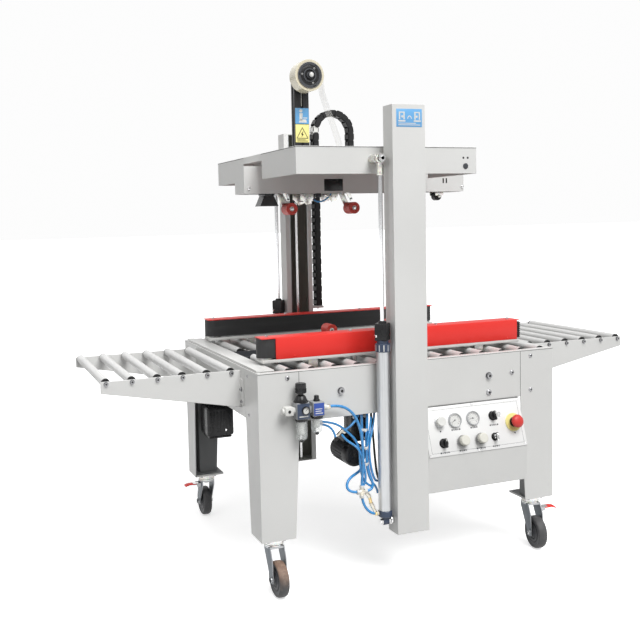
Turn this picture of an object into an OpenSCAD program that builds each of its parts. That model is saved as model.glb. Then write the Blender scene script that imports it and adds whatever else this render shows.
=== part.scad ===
// Carton sealer with side drive belts, pneumatic lift head, roller bed and roller extensions.
// +X is the conveying direction, -Y is the operator side, +Z is up, Z = 0 is the floor.

/* [Machine body] */
// Length of the body along the conveying direction
body_len = 968; // [900:1:1100]
// Width of the body across the conveying direction
body_wid = 772; // [720:1:900]
// Height of the table rim above the floor
table_z = 630; // [600:1:720]
// Height of the underside of the legs, where the casters bolt on
foot_z = 160; // [150:1:200]
// Thickness of the folded sheet steel
sheet = 3; // [2:0.5:4]
// Height of the side and end panels
panel_h = 142; // [120:1:180]
// Width of a leg at the panels
leg_top_w = 120; // [110:1:140]
// Width of a leg at its foot
leg_foot_w = 102; // [94:1:110]
// Depth of a leg at its foot
leg_depth = 90; // [84:1:110]
// Width of the rim that folds inward around the table
rim = 20; // [14:1:22]

/* [Rollers] */
// Outside diameter of every gravity roller
roller_d = 25; // [20:1:32]
// Diameter of the fixed roller shafts
shaft_d = 8; // [6:1:10]
// Distance between neighbouring roller axes on the extensions
roller_pitch = 70.6; // [64:0.1:71]
// Distance between neighbouring roller axes in the bed
bed_pitch = 70; // [66:0.5:71]
// Running clearance of a roller bore on its shaft, per side
roller_fit = 0.07; // [0.05:0.01:0.1]
// Height of the bed roller tops above the table rim
bed_rise = 2; // [1:0.5:4]
// Gap between a roller end and the plate that holds it
roller_gap = 3; // [2:0.5:5]
// Rollers in each half row of the bed
bed_count = 14; // [10:2:14]

/* [Extensions] */
// Outer width across the extension side plates
ext_wid = 484; // [420:1:560]
// Length of each roller extension
ext_len = 396; // [390:1:420]
// Drop of the extension plate tops below the table rim
ext_drop = 10; // [8:1:14]
// Height of the extension plates at the body
ext_deep = 108; // [90:1:118]
// Height of the extension plates at their free ends
ext_shallow = 32; // [26:1:40]
// Thickness of the extension plates
ext_sheet = 4; // [3:0.5:5]

/* [Columns] */
// Width of a column along the conveying direction
col_w = 102; // [94:1:110]
// Depth of a column
col_d = 56; // [54:1:64]
// Centre of the columns along the conveying direction
col_x = -43; // [-60:1:-30]
// Top of the columns above the floor
col_top = 1352; // [1340:1:1450]
// Underside of the columns above the floor
col_foot = 142; // [130:1:150]
// Width of the inward lips beside the column slot
col_lip = 18; // [12:1:20]
// Diameter of the guide rod inside each column
guide_d = 16; // [12:1:20]

/* [Lift head] */
// Length of the bridge along the conveying direction
bridge_len = 575; // [500:1:620]
// Left end of the bridge
bridge_x0 = -350; // [-380:1:-320]
// Gap between the bridge and each column
bridge_gap = 21; // [16:1:26]
// Height of the bridge walls
bridge_h = 77; // [74:1:90]
// Underside of the bridge with the head fully up
bridge_z = 1166; // [1150:1:1190]
// Length of the channel that holds the tape cartridge
channel_len = 778; // [720:1:820]
// Width of the channel
channel_w = 90; // [84:1:100]
// Depth of the channel
channel_h = 84; // [78:1:90]
// Depth of the channel below the bridge
channel_drop = 42; // [36:1:50]
// Travel of the head from fully up to fully down
head_stroke = 372; // [300:1:380]

/* [Lift cylinders] */
// Distance from the column side to the cylinder axis
cyl_offset = 25; // [24:1:34]
// Outside diameter of the cylinder tube
cyl_d = 38; // [36:1:42]
// Bore of the cylinder tube
cyl_bore = 32; // [28:1:33]
// Diameter of the piston rod
rod_d = 12; // [10:1:14]
// Height of the lower clevis pin above the floor
cyl_pin_z = 180; // [170:1:190]
// Top of the cylinder tube
cyl_top = 700; // [690:1:710]

/* [Tape cartridges] */
// Diameter of the applying and wiping rollers
wipe_d = 38; // [30:1:42]
// Length of the applying and wiping rollers
wipe_len = 48; // [40:1:50]
// Distance from an arm pivot to its roller, along the conveying direction
arm_reach = 36; // [30:1:42]
// Distance from an arm pivot to its roller, up or down
arm_drop = 74; // [66:1:80]
// Distance between the two rollers of one cartridge
wipe_pitch = 217; // [200:1:230]
// Diameter of the arm pivot pins
pivot_d = 10; // [8:1:12]

/* [Tape reel] */
// Outside diameter of a tape roll
tape_d = 98; // [90:1:140]
// Width of a tape roll
tape_w = 50; // [36:1:50]
// Diameter of the reel hub
hub_d = 76; // [76:0.1:77]
// Height of the reel axis above the floor
reel_z = 1492; // [1480:1:1560]

/* [Side belts] */
// Clear width between the belts, fully open
belt_gap = 474; // [440:1:480]
// Depth of a side drive unit
unit_d = 60; // [56:1:66]
// Left end of the belts
unit_x0 = -443; // [-446:1:-430]
// Length of the belts
unit_len = 873; // [840:1:880]
// Height of the belt
belt_h = 54; // [44:1:58]
// Thickness of the belt
belt_t = 5; // [4:0.5:6]
// Gap from the bed rollers to the base plate of a unit
unit_lift = 9; // [6:1:12]

/* [Casters] */
// Diameter of the caster wheels
wheel_d = 100; // [90:1:102]
// Width of the caster wheels
wheel_w = 32; // [26:1:34]
// Distance from the swivel axis to the wheel axis
caster_trail = 36; // [28:1:38]
// Swivel angle of the outfeed front caster as it stands
caster_turn = -8; // [-30:1:30]

/* [Controls] */
// Left edge of the control box
ctrl_x0 = 14; // [12:1:24]
// Right edge of the control box
ctrl_x1 = 356; // [340:1:360]
// Distance that the control face leans out at its lower edge
ctrl_lean = 47; // [40:1:54]
// Vertical height of the control face
ctrl_face_h = 141; // [130:1:150]
// Vertical height of the box below the control face
ctrl_low_h = 105; // [90:1:120]

/* [Air preparation] */
// Bore of the push-in air inlet
inlet_d = 8.2; // [6:0.1:12]
// Depth of the push-in air inlet
inlet_deep = 14; // [10:1:18]

/* [Hidden] */
$fn = 48;
tiny = 0.01;
seat = 0.02;

paint = "gainsboro";
steel = "silver";
dark = "dimgray";
black = [0.12, 0.12, 0.13];
red = [0.85, 0.16, 0.13];
zinc = "lightgray";

hx = body_len / 2;
hy = body_wid / 2;
panel_z = table_z - panel_h;
leg_top_d = leg_depth + 20;
foot_t = 6;
rail_top = table_z - sheet;

// Bed
side_rail_y = hy - rim;
inner_rail_y = 60;
bed_z = table_z + bed_rise - roller_d / 2;
bed_x0 = -bed_pitch * (bed_count - 1) / 2;
bed_top = table_z + bed_rise;
rod_r = 10;
rod_z = bed_z - 44;
bracket_x = bed_pitch * 4;
fit = 0.08;

// Extensions
ext_y = ext_wid / 2;
ext_top = table_z - ext_drop;
ext_axis_z = ext_top - 5;
ext_first = 28;
ext_x = [for (i = [0:5]) hx + ext_first + i * roller_pitch];
ext_end = hx + ext_len;

// Columns
col_y0 = hy;
col_y1 = hy + col_d;
col_x0 = col_x - col_w / 2;
col_x1 = col_x + col_w / 2;
guide_y = (col_y0 + col_y1) / 2;
guide_fit = 0.08;

// Head
bridge_y = hy - bridge_gap;
bridge_x1 = bridge_x0 + bridge_len;
bridge_top = bridge_z + bridge_h;
channel_z0 = bridge_z - channel_drop;
channel_z1 = channel_z0 + channel_h;
channel_x0 = -393;
channel_x1 = channel_x0 + channel_len;
notch_w = channel_w + 86;
notch_top = channel_z1 + 14;
slot_x = -48;
slot_len = 30;

// Cylinders
cyl_x = col_x0 - cyl_offset;
cyl_y = guide_y - 1;
head_pin_z = bridge_z + 40;
cyl_cap_h = 48;
piston_z = cyl_pin_z + head_stroke + 48;

// Cartridges
upper_front_x = -229;
upper_wipe_z = channel_z0 - 48;
lower_front_x = -100;
lower_wipe_z = bed_top + 51;
arm_y = wipe_len / 2 + 1;
arm_t = 3;
cart_y = arm_y + arm_t + 3;

// Reel
mast_x = -165;
mast_w = 58;
mast_d = 30;
mast_y = 45;
mast_top = reel_z + 24;
reel_x = -160;
reel_axle_d = 16;

// Side units
unit_z0 = bed_top + unit_lift;
base_t = 9;
belt_z0 = unit_z0 + base_t + 4;
belt_z1 = belt_z0 + belt_h;
cover_top = belt_z1 + sheet + 1;
unit_y0 = belt_gap / 2;
unit_y1 = unit_y0 + unit_d;
unit_x1 = unit_x0 + unit_len;
cover_x0 = unit_x0 + 47;
cover_x1 = unit_x1 - 13;
pulley_r = (unit_d - 4) / 2 - belt_t;
belt_mid = unit_y0 + pulley_r + belt_t;

// Casters
caster_x = hx - leg_foot_w / 2;
caster_y = hy - leg_depth / 2;
fork_top = foot_z - 22;
fork_t = 6;
axle_z = wheel_d / 2;
fork_in = wheel_w / 2 + 3;

// Controls
ctrl_seat = 0.3;
ctrl_top = panel_z - ctrl_seat;
ctrl_back = hy - 86;
ctrl_tilt = atan2(ctrl_face_h, ctrl_lean);
ctrl_len = norm([ctrl_lean, ctrl_face_h]);
plate_t = 3;
stem_r = 7;
row_1 = 48;
row_2 = 110;
row_stop = 74;
push_x = 66;
gauge_x = [118, 180];
key_x = 250;
stop_x = 318;
mode_x = 69;
knob_x = [130, 192];
small_x = 245;

// Air preparation unit
air_x = -369;
air_y = -hy - 24;
air_z = 526;
lube_x = -323;

// Cable chain
chain_x0 = 24;
chain_t = 24;
chain_r = 59;
chain_z = 1360;
chain_y0 = hy + 4;
chain_w = 36;
chain_foot = 720;
chain_end = bridge_z + 14;

// Hose routes, from fitting to fitting
hose_r = 4;
tee = [-188, -406, 272];
port_z = 205;
supply_route = [[-283, -410, 527], [-268, -410, 527], [-248, -410, 524], [-228, -410, 514],
    [-210, -410, 496], [-198, -410, 472], [-190, -410, 446], [-186, -410, 418],
    [-184, -410, 388], [-184, -410, 356], [-186, -409, 322], [-188, -407, 300], [-188, -406, 286]];
cylinder_route = [[-188, -406, 258], [-187, -407, 246], [-182, -408, 230], [-173, -410.5, 217],
    [-163, -412.5, 208.5], [-155, -413, port_z], [-146, -413, port_z]];
return_route = [[-201, -406, 272], [-212, -405, 273], [-224, -402, 276], [-231, -396, 286],
    [-226, -390, 300], [-212, -384, 310], [-194, -378, 316], [-176, -374, 322],
    [-168, -372, 340], [-166, -371, 370], [-166, -370, 400], [-167, -370, 430],
    [-168, -370, 458], [-168, -370, 487]];
twin_route = [[-150, -370, 487], [-152, -374, 460], [-158, -382, 436], [-164, -390, 414],
    [-166, -396, 390], [-166, -398, 360], [-163, -398, 330], [-156, -399, 306],
    [-150, -401, 290], [-154, -404, 276], [-164, -406, 272], [-175, -406, 272]];

module both_x() {
    children();
    mirror([1, 0, 0]) children();
}

module both_y() {
    children();
    mirror([0, 1, 0]) children();
}

// Cylinder along Y from y0 to y1
module y_cyl(x, z, y0, y1, r) {
    translate([x, y0, z]) rotate([-90, 0, 0]) cylinder(h = y1 - y0, r = r);
}

// Cylinder along X from x0 to x1
module x_cyl(y, z, x0, x1, r) {
    translate([x0, y, z]) rotate([0, 90, 0]) cylinder(h = x1 - x0, r = r);
}

// Box between two corners
module span(a, b) {
    translate(a) cube(b - a);
}

// Outline in X and Z, extruded along Y from y0 to y1
module xz_plate(y0, y1, pts) {
    translate([0, y1, 0]) rotate([90, 0, 0]) linear_extrude(y1 - y0) polygon(pts);
}

// Outline in Y and Z, extruded along X from x0 to x1
module yz_plate(x0, x1, pts) {
    translate([x0, 0, 0]) rotate([90, 0, 90]) linear_extrude(x1 - x0) polygon(pts);
}

// One corner leg with its foot plate, inner post, caster plate, ball race and king pin
module leg() {
    difference() {
        union() {
            xz_plate(hy - sheet, hy, [[hx, foot_z], [hx - leg_foot_w, foot_z],
                [hx - leg_top_w, panel_z], [hx - leg_top_w, rail_top], [hx, rail_top]]);
            yz_plate(hx - sheet, hx, [[hy, foot_z], [hy - leg_depth, foot_z],
                [hy - leg_top_d, panel_z], [hy - leg_top_d, rail_top], [hy, rail_top]]);
            span([hx - leg_foot_w + 2, hy - leg_depth + 2, foot_z], [hx, hy, foot_z + foot_t]);
        }
        span([caster_x - 8, caster_y - 8, foot_z - 1], [caster_x - 7, caster_y - 7, foot_z]);
    }
    post_w = 60;
    post_d = 50;
    difference() {
        span([caster_x - post_w / 2 - 5, hy - sheet - post_d, foot_z + foot_t],
             [caster_x + post_w / 2 - 5, hy - sheet, foot_z + 270]);
        span([caster_x - post_w / 2 - 5 + sheet, hy - post_d, foot_z + foot_t - 1],
             [caster_x + post_w / 2 - 5 - sheet, hy - 2 * sheet, foot_z + 271]);
    }
    translate([caster_x, caster_y, 0]) {
        span([-38, -34, foot_z - 4], [38, 34, foot_z]);
        translate([0, 0, fork_top + 4]) cylinder(h = foot_z - 4 - fork_top - 4, r = 27);
        translate([0, 0, fork_top - fork_t - 6]) cylinder(h = fork_t + 12, r = 6);
        translate([0, 0, fork_top - fork_t - 6]) cylinder(h = 5.6, r = 11);
    }
}

module legs() {
    color(paint) both_y() both_x() leg();
}

module body_panels() {
    color(paint) {
        both_y() union() {
            span([-hx + leg_top_w, hy - sheet, panel_z], [hx - leg_top_w, hy, rail_top]);
            span([-hx, hy - rim, rail_top], [hx, hy, table_z]);
            span([-hx + leg_top_w, hy - rim, panel_z], [hx - leg_top_w, hy, panel_z + sheet]);
        }
        both_x() union() {
            span([hx - sheet, -hy + leg_top_d, panel_z], [hx, hy - leg_top_d, rail_top]);
            span([hx - 14, -hy + rim, rail_top], [hx, hy - rim, table_z]);
        }
    }
}

module bed_frame() {
    end_x = hx - sheet;
    color(dark) {
        both_y() span([-end_x, side_rail_y, bed_z - 64], [end_x, side_rail_y + sheet, rail_top]);
        both_y() difference() {
            span([-end_x, inner_rail_y - sheet, bed_z - 84], [end_x, inner_rail_y, bed_z + 6]);
            for (s = [-1, 1])
                y_cyl(s * bracket_x, rod_z, inner_rail_y - 2 * sheet, inner_rail_y + sheet, rod_r + 0.5);
        }
    }
    color(steel) for (s = [-1, 1])
        y_cyl(s * bracket_x, rod_z, -side_rail_y, side_rail_y, rod_r);
}

module bed_rollers() {
    color("whitesmoke") both_y() for (i = [0:bed_count - 1]) {
        x = bed_x0 + i * bed_pitch;
        y_cyl(x, bed_z, inner_rail_y, side_rail_y, shaft_d / 2);
        y_cyl(x, bed_z, inner_rail_y + roller_gap, side_rail_y - roller_gap, roller_d / 2);
    }
}

module extension_frame() {
    both_y() union() {
        xz_plate(ext_y - ext_sheet, ext_y, [[hx, ext_top], [ext_end, ext_top],
            [ext_end, ext_top - ext_shallow], [hx, ext_top - ext_deep]]);
        span([hx, ext_y - ext_sheet, ext_top - ext_deep + 10], [hx + ext_sheet, ext_y + 24, ext_top - 24]);
    }
    shaft_y = ext_y - ext_sheet - seat;
    for (x = ext_x) y_cyl(x, ext_axis_z, -shaft_y, shaft_y, shaft_d / 2);
}

module extension_frames() {
    color(paint) both_x() extension_frame();
}

module roller(x) {
    color("whitesmoke") difference() {
        y_cyl(x, ext_axis_z, -ext_y + ext_sheet + roller_gap, ext_y - ext_sheet - roller_gap, roller_d / 2);
        y_cyl(x, ext_axis_z, -ext_y, ext_y, shaft_d / 2 + roller_fit);
    }
}

module column() {
    difference() {
        span([col_x0, col_y0, col_foot], [col_x1, col_y1, col_top]);
        span([col_x0 + sheet, col_y0 + sheet, col_foot + sheet],
             [col_x1 - sheet, col_y1 - sheet, col_top - sheet]);
        span([col_x0 + col_lip, col_y0 - 1, col_foot + sheet],
             [col_x1 - col_lip, col_y0 + 2 * sheet, col_top - sheet]);
    }
    rod_z0 = col_foot + sheet + seat;
    translate([col_x, guide_y, rod_z0]) cylinder(h = col_top - sheet - seat - rod_z0, r = guide_d / 2);
}

module columns() {
    color(paint) {
        both_y() column();
        span([col_x1 + seat, chain_y0 - 2, chain_foot - 8],
             [chain_x0 + chain_t + 4, chain_y0 + chain_w + 2, chain_foot]);
    }
}

module lift_cylinder() {
    color(steel) difference() {
        union() {
            translate([cyl_x, cyl_y, cyl_pin_z + 26]) cylinder(h = cyl_top - cyl_pin_z - 26, r = cyl_d / 2);
            translate([cyl_x, cyl_y, cyl_top - 28]) cylinder(h = 20, r = cyl_d / 2 + 2);
            translate([cyl_x, cyl_y, cyl_pin_z + 12]) cylinder(h = 20, r = cyl_d / 2 + 1);
            span([cyl_x - 17, cyl_y - 17, cyl_top - 2], [cyl_x + 17, cyl_y + 17, cyl_top + cyl_cap_h]);
            span([cyl_x - 8, cyl_y - 10, cyl_pin_z], [cyl_x + 8, cyl_y + 10, cyl_pin_z + 13]);
            x_cyl(cyl_y, port_z, cyl_x - 27, cyl_x, 6);
            x_cyl(cyl_y, cyl_pin_z, cyl_x - 8, cyl_x + 8, 12);
            x_cyl(cyl_y, cyl_pin_z, cyl_x - 16, col_x0, 6);
            x_cyl(cyl_y, cyl_pin_z, cyl_x + 11, col_x0, 12);
            x_cyl(cyl_y, cyl_pin_z, cyl_x - 16, cyl_x - 11, 9);
        }
        translate([cyl_x, cyl_y, cyl_pin_z + 32])
            cylinder(h = cyl_top - cyl_pin_z - 32, r = cyl_bore / 2);
        translate([cyl_x, cyl_y, cyl_top - 1]) cylinder(h = cyl_cap_h + 2, r = rod_d / 2 + fit);
    }
}

module lift_cylinders() {
    both_y() lift_cylinder();
}

module lift_rod() {
    color("white") difference() {
        union() {
            translate([cyl_x, cyl_y, piston_z]) cylinder(h = head_pin_z - piston_z - 12, r = rod_d / 2);
            translate([cyl_x, cyl_y, piston_z]) cylinder(h = 18, r = cyl_bore / 2 - fit);
            translate([cyl_x, cyl_y, head_pin_z - 46]) cylinder(h = 8, r = 11, $fn = 6);
            translate([cyl_x, cyl_y, head_pin_z - 38]) cylinder(h = 30, r = 8);
            y_cyl(cyl_x, head_pin_z, cyl_y - 8, cyl_y + 8, 14);
        }
        y_cyl(cyl_x, head_pin_z, cyl_y - 9, cyl_y + 9, 6.05);
    }
}

module lift_rods() {
    both_y() lift_rod();
}

// Carriage that runs on the guide rod, and the boss and pin for the piston rod
module head_carriage() {
    difference() {
        union() {
            span([col_x - 25, col_y0 + sheet + 3, bridge_z + 2],
                 [col_x + 25, col_y1 - sheet - 5, bridge_top - 5]);
            span([col_x - 17, bridge_y + seat, bridge_z + 12], [col_x + 17, col_y0 + sheet + 4, bridge_top - 15]);
        }
        translate([col_x, guide_y, bridge_z]) cylinder(h = bridge_h, r = guide_d / 2 + guide_fit);
    }
    y_cyl(cyl_x, head_pin_z, bridge_y + seat, cyl_y - 12, 13);
    y_cyl(cyl_x, head_pin_z, bridge_y + seat, cyl_y + 18, 6);
}

module head_bridge() {
    color(paint) {
        difference() {
            span([bridge_x0, -bridge_y, bridge_z], [bridge_x1, bridge_y, bridge_top]);
            span([bridge_x0 + sheet, -bridge_y + sheet, bridge_z - 1],
                 [bridge_x1 - sheet, bridge_y - sheet, bridge_top - sheet]);
            span([bridge_x0 - 1, -notch_w / 2, bridge_z - 1], [bridge_x1 + 1, notch_w / 2, notch_top]);
            span([slot_x - slot_len / 2, -30, bridge_top - 2 * sheet], [slot_x + slot_len / 2, 30, bridge_top + 1]);
        }
        for (x = [bridge_x0 + 130, bridge_x1 - 160])
            span([x, -bridge_y + sheet + seat, channel_z1],
                 [x + 40, bridge_y - sheet - seat, bridge_top - sheet - seat]);
        both_y() head_carriage();
        span([chain_x0 + chain_t + 2 * chain_r - 4, bridge_y + seat, chain_end - 8],
             [chain_x0 + 2 * chain_t + 2 * chain_r + 4, chain_y0 + chain_w + 2, chain_end]);
    }
}

module head_channel() {
    wall = channel_w / 2;
    pivot_z = upper_wipe_z + arm_drop;
    color(paint) union() {
        difference() {
            span([channel_x0, -wall, channel_z0], [channel_x1, wall, channel_z1]);
            span([channel_x0 + sheet, -wall + sheet, channel_z0 - 1],
                 [channel_x1 - sheet, wall - sheet, channel_z1 - sheet]);
            span([-125, -wall - 1, channel_z0 + 7], [-68, wall + 1, channel_z0 + 45]);
            span([slot_x - slot_len / 2, -28, channel_z1 - 2 * sheet], [slot_x + slot_len / 2, 28, channel_z1 + 1]);
        }
        for (x = [upper_front_x, upper_front_x + wipe_pitch])
            y_cyl(x - arm_reach, pivot_z, -wall + 1, wall - 1, pivot_d / 2);
        span([channel_x0 + 40, -wall + sheet - 1, channel_z0], [channel_x0 + 46, wall - sheet + 1, channel_z0 + 40]);
    }
    brush_x = -305;
    color(black) union() {
        span([brush_x - 13, -wall + sheet, channel_z0], [brush_x + 13, wall - sheet, channel_z0 + 10]);
        xz_plate(-24, 24, [[brush_x - 13, channel_z0], [brush_x - 30, channel_z0 - 38],
            [brush_x + 30, channel_z0 - 38], [brush_x + 13, channel_z0]]);
    }
}

// Arm of a cartridge; s = 1 hangs down from its pivot, s = -1 stands up from it
module arm(x, z, s) {
    px = x - arm_reach;
    pz = z + s * arm_drop;
    bar = 9;
    dir = [arm_reach, -s * arm_drop] / norm([arm_reach, arm_drop]);
    nrm = [-dir[1], dir[0]] * bar;
    a = [px, pz];
    b = [x, z];
    color(zinc) difference() {
        union() {
            both_y() union() {
                xz_plate(arm_y, arm_y + arm_t, [a + nrm, b + nrm, b - nrm, a - nrm]);
                y_cyl(px, pz, arm_y, arm_y + arm_t, bar + 2);
                y_cyl(x, z, arm_y, arm_y + arm_t, bar);
            }
            y_cyl(px, pz, -arm_y - tiny, arm_y + tiny, pivot_d / 2 + 4);
            y_cyl(x, z, -arm_y - 1, arm_y + 1, 4);
        }
        y_cyl(px, pz, -arm_y - 2 * arm_t, arm_y + 2 * arm_t, pivot_d / 2 + fit);
    }
}

module wipe_roller(x, z) {
    color(red) difference() {
        y_cyl(x, z, -wipe_len / 2, wipe_len / 2, wipe_d / 2);
        y_cyl(x, z, -wipe_len, wipe_len, 4 + fit);
    }
}

module tape_mast() {
    color(black) union() {
        difference() {
            span([mast_x - mast_w / 2, mast_y, bridge_top], [mast_x + mast_w / 2, mast_y + mast_d, mast_top]);
            span([mast_x - 4, mast_y - 1, bridge_top - 1], [mast_x + 4, mast_y + 5, mast_top + 1]);
            span([mast_x - 4, mast_y + mast_d - 5, bridge_top - 1],
                 [mast_x + 4, mast_y + mast_d + 1, mast_top + 1]);
        }
        span([mast_x - mast_w / 2 - 16, mast_y, bridge_top], [mast_x + mast_w / 2 + 6, mast_y + mast_d, bridge_top + 8]);
        y_cyl(reel_x, reel_z, mast_y - 12, mast_y + 6, 20);
        y_cyl(reel_x, reel_z, -tape_w / 2 - 12, mast_y + 1, reel_axle_d / 2);
        y_cyl(reel_x, reel_z, -tape_w / 2 - 16, -tape_w / 2 - 5, 11);
    }
}

module tape_reel() {
    half = tape_w / 2;
    bore = reel_axle_d / 2 + fit;
    color("wheat") difference() {
        y_cyl(reel_x, reel_z, -half, half, tape_d / 2);
        y_cyl(reel_x, reel_z, -half - 1, half + 1, hub_d / 2);
    }
    color(black) difference() {
        y_cyl(reel_x, reel_z, -half - 2, half + 2, hub_d / 2);
        y_cyl(reel_x, reel_z, -half - 3, half + 3, bore);
        y_cyl(reel_x, reel_z, -half - 3, -half + 8, hub_d / 4 + 3);
    }
}

module drag_chain() {
    mid = chain_x0 + chain_t + chain_r;
    color(black) union() {
        span([chain_x0, chain_y0, chain_foot], [chain_x0 + chain_t, chain_y0 + chain_w, chain_z]);
        span([mid + chain_r, chain_y0, chain_end], [mid + chain_r + chain_t, chain_y0 + chain_w, chain_z]);
        translate([mid, chain_y0 + chain_w, chain_z]) rotate([90, 0, 0])
            rotate_extrude(angle = 180, $fn = 96) translate([chain_r, 0]) square([chain_t, chain_w]);
    }
}

// Base plate, cover, two guide blocks and the drive of one side unit, for the +Y side
module side_unit(motor_x, motor_front) {
    mid = (unit_y0 + unit_y1) / 2;
    color(paint) difference() {
        union() {
            span([unit_x0 + 6, unit_y0 - 4, unit_z0], [unit_x1 - 6, unit_y1, unit_z0 + base_t]);
            for (s = [-1, 1]) {
                span([s * bracket_x - 15, unit_y0 + 7, rod_z + 20], [s * bracket_x + 15, unit_y1 - 7, unit_z0 + 1]);
                span([s * bracket_x - 25, unit_y0, rod_z - 20], [s * bracket_x + 25, unit_y1, rod_z + 23]);
            }
        }
        for (s = [-1, 1]) y_cyl(s * bracket_x, rod_z, unit_y0 - 5, unit_y1 + 5, rod_r + fit);
    }
    color(red) union() {
        span([cover_x0, unit_y1 - sheet, unit_z0 + base_t], [cover_x1, unit_y1, cover_top]);
        span([unit_x0 + 4, unit_y0 + 1, cover_top - sheet], [unit_x1 - 4, unit_y1, cover_top]);
        span([cover_x0, unit_y0 + belt_t, unit_z0 + base_t], [cover_x1 - 20, unit_y0 + belt_t + 6, cover_top]);
    }
    color(zinc) for (x = [unit_x0 + pulley_r + belt_t, unit_x1 - pulley_r - belt_t])
        translate([x, belt_mid, unit_z0 + base_t])
            cylinder(h = cover_top - sheet - unit_z0 - base_t, r = pulley_r - 0.2);
    color(black) union() {
        translate([motor_x, mid, 469]) cylinder(h = unit_z0 - 469, r = 10);
        span([motor_x - 25, unit_y0, 385], [motor_x + 25, unit_y1, 470]);
        if (motor_front) y_cyl(motor_x - 28, 355, unit_y0 - 22, unit_y1 + 33, 35);
        else span([motor_x - 43, unit_y0 - 37, 320], [motor_x + 50, unit_y0 + 53, 420]);
    }
}

module side_unit_front() {
    mirror([0, 1, 0]) side_unit(-2 * bed_pitch, true);
}

module side_unit_back() {
    side_unit(-6 * bed_pitch, false);
}

// Closed flat belt around the two pulleys, for the +Y side
module side_belt() {
    r = pulley_r + belt_t;
    xa = unit_x0 + r;
    xb = unit_x1 - r;
    color(black) difference() {
        union() {
            for (x = [xa, xb]) translate([x, belt_mid, belt_z0]) cylinder(h = belt_h, r = r);
            span([xa, belt_mid - r, belt_z0], [xb, belt_mid + r, belt_z1]);
        }
        for (x = [xa, xb]) translate([x, belt_mid, belt_z0 - 1]) cylinder(h = belt_h + 2, r = pulley_r);
        span([xa, belt_mid - pulley_r, belt_z0 - 1], [xb, belt_mid + pulley_r, belt_z1 + 1]);
    }
}

module lower_cartridge() {
    x0 = lower_front_x - arm_reach;
    pivot_z = lower_wipe_z - arm_drop;
    roll_z = pivot_z - 120;
    roll_x = x0 + wipe_pitch / 2 + 60;
    end_y = inner_rail_y - sheet;
    pin_y = cart_y - seat;
    color(zinc) {
        both_y() xz_plate(cart_y, cart_y + sheet, [[x0 - 24, pivot_z - 60], [x0 + 60, roll_z - 30],
            [roll_x + 20, roll_z - 30], [x0 + wipe_pitch + 40, pivot_z - 60],
            [x0 + wipe_pitch + 40, pivot_z + 14], [x0 - 24, pivot_z + 14]]);
        for (x = [x0, x0 + wipe_pitch]) y_cyl(x, pivot_z, -pin_y, pin_y, pivot_d / 2);
        both_y() for (x = [x0 + 20, x0 + wipe_pitch])
            y_cyl(x, pivot_z - 50, cart_y + sheet + seat, end_y, 8);
        y_cyl(roll_x, roll_z, -pin_y, pin_y, reel_axle_d / 2);
    }
    color("wheat") difference() {
        y_cyl(roll_x, roll_z, -tape_w / 2, tape_w / 2, tape_d / 2);
        y_cyl(roll_x, roll_z, -tape_w, tape_w, reel_axle_d / 2 + fit);
    }
}

// Fork of one caster about its swivel axis, trailing toward -Y
module fork(brake) {
    hinge_x = fork_in + sheet + 8;
    hinge_z = fork_top - 20;
    color(zinc) difference() {
        union() {
            translate([0, 0, fork_top - fork_t]) cylinder(h = fork_t, r = 26);
            translate([0, 0, fork_top - 1]) cylinder(h = 4.6, r = 24);
            span([-fork_in - sheet, -26, fork_top - fork_t], [fork_in + sheet, 20, fork_top]);
            for (s = [-1, 1]) union() {
                x0 = s > 0 ? fork_in : -fork_in - sheet;
                yz_plate(x0, x0 + sheet, [[20, fork_top], [20, fork_top - 16], [-caster_trail + 11, axle_z - 6],
                    [-caster_trail - 11, axle_z - 3], [-40, fork_top - 30], [-26, fork_top]]);
                x_cyl(-caster_trail, axle_z, x0, x0 + sheet, 12);
            }
            x_cyl(-caster_trail, axle_z, -fork_in - sheet - 4, fork_in + sheet + 4, 6);
            for (s = [-1, 1]) x_cyl(-caster_trail, axle_z, s > 0 ? fork_in + sheet : -fork_in - sheet - 5,
                s > 0 ? fork_in + sheet + 5 : -fork_in - sheet, 9);
            if (brake) {
                for (y = [-29, -1]) span([fork_in + sheet - 1, y - 2, hinge_z - 6], [hinge_x + 5, y, hinge_z + 6]);
                y_cyl(hinge_x, hinge_z, -30, -2, 3);
            }
        }
        translate([0, 0, fork_top - 20]) cylinder(h = 40, r = 6 + fit);
    }
}

module brake_pedal() {
    hinge_x = fork_in + sheet + 8;
    hinge_z = fork_top - 20;
    color(red) difference() {
        union() {
            y_cyl(hinge_x, hinge_z, -28.7, -3.3, 5);
            span([hinge_x, -28, hinge_z + 1], [hinge_x + 46, -4, hinge_z + 5]);
            span([hinge_x + 40, -28, hinge_z - 3], [hinge_x + 46, -4, hinge_z + 5]);
        }
        y_cyl(hinge_x, hinge_z, -32, 0, 3 + fit);
    }
}

module wheel() {
    r = wheel_d / 2;
    w = wheel_w / 2;
    color(dark) translate([0, -caster_trail, axle_z]) rotate([0, 90, 0]) rotate_extrude($fn = 96)
        polygon([[6 + fit, -w], [16, -w], [20, -w + 5], [r - 12, -w + 5], [r - 9, -w + 2], [r - 3, -w + 4],
            [r, -w + 9], [r, w - 9], [r - 3, w - 4], [r - 9, w - 2], [r - 12, w - 5], [20, w - 5],
            [16, w], [6 + fit, w]]);
}

// Places of the casters: infeed front, outfeed front, infeed back, outfeed back
module at_caster(i) {
    sx = i == 1 || i == 3 ? -1 : 1;
    sy = i < 3 ? -1 : 1;
    turn = i == 1 ? 0 : i == 2 ? caster_turn : 180;
    translate([sx * caster_x, sy * caster_y, 0]) rotate([0, 0, turn]) children();
}

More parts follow.
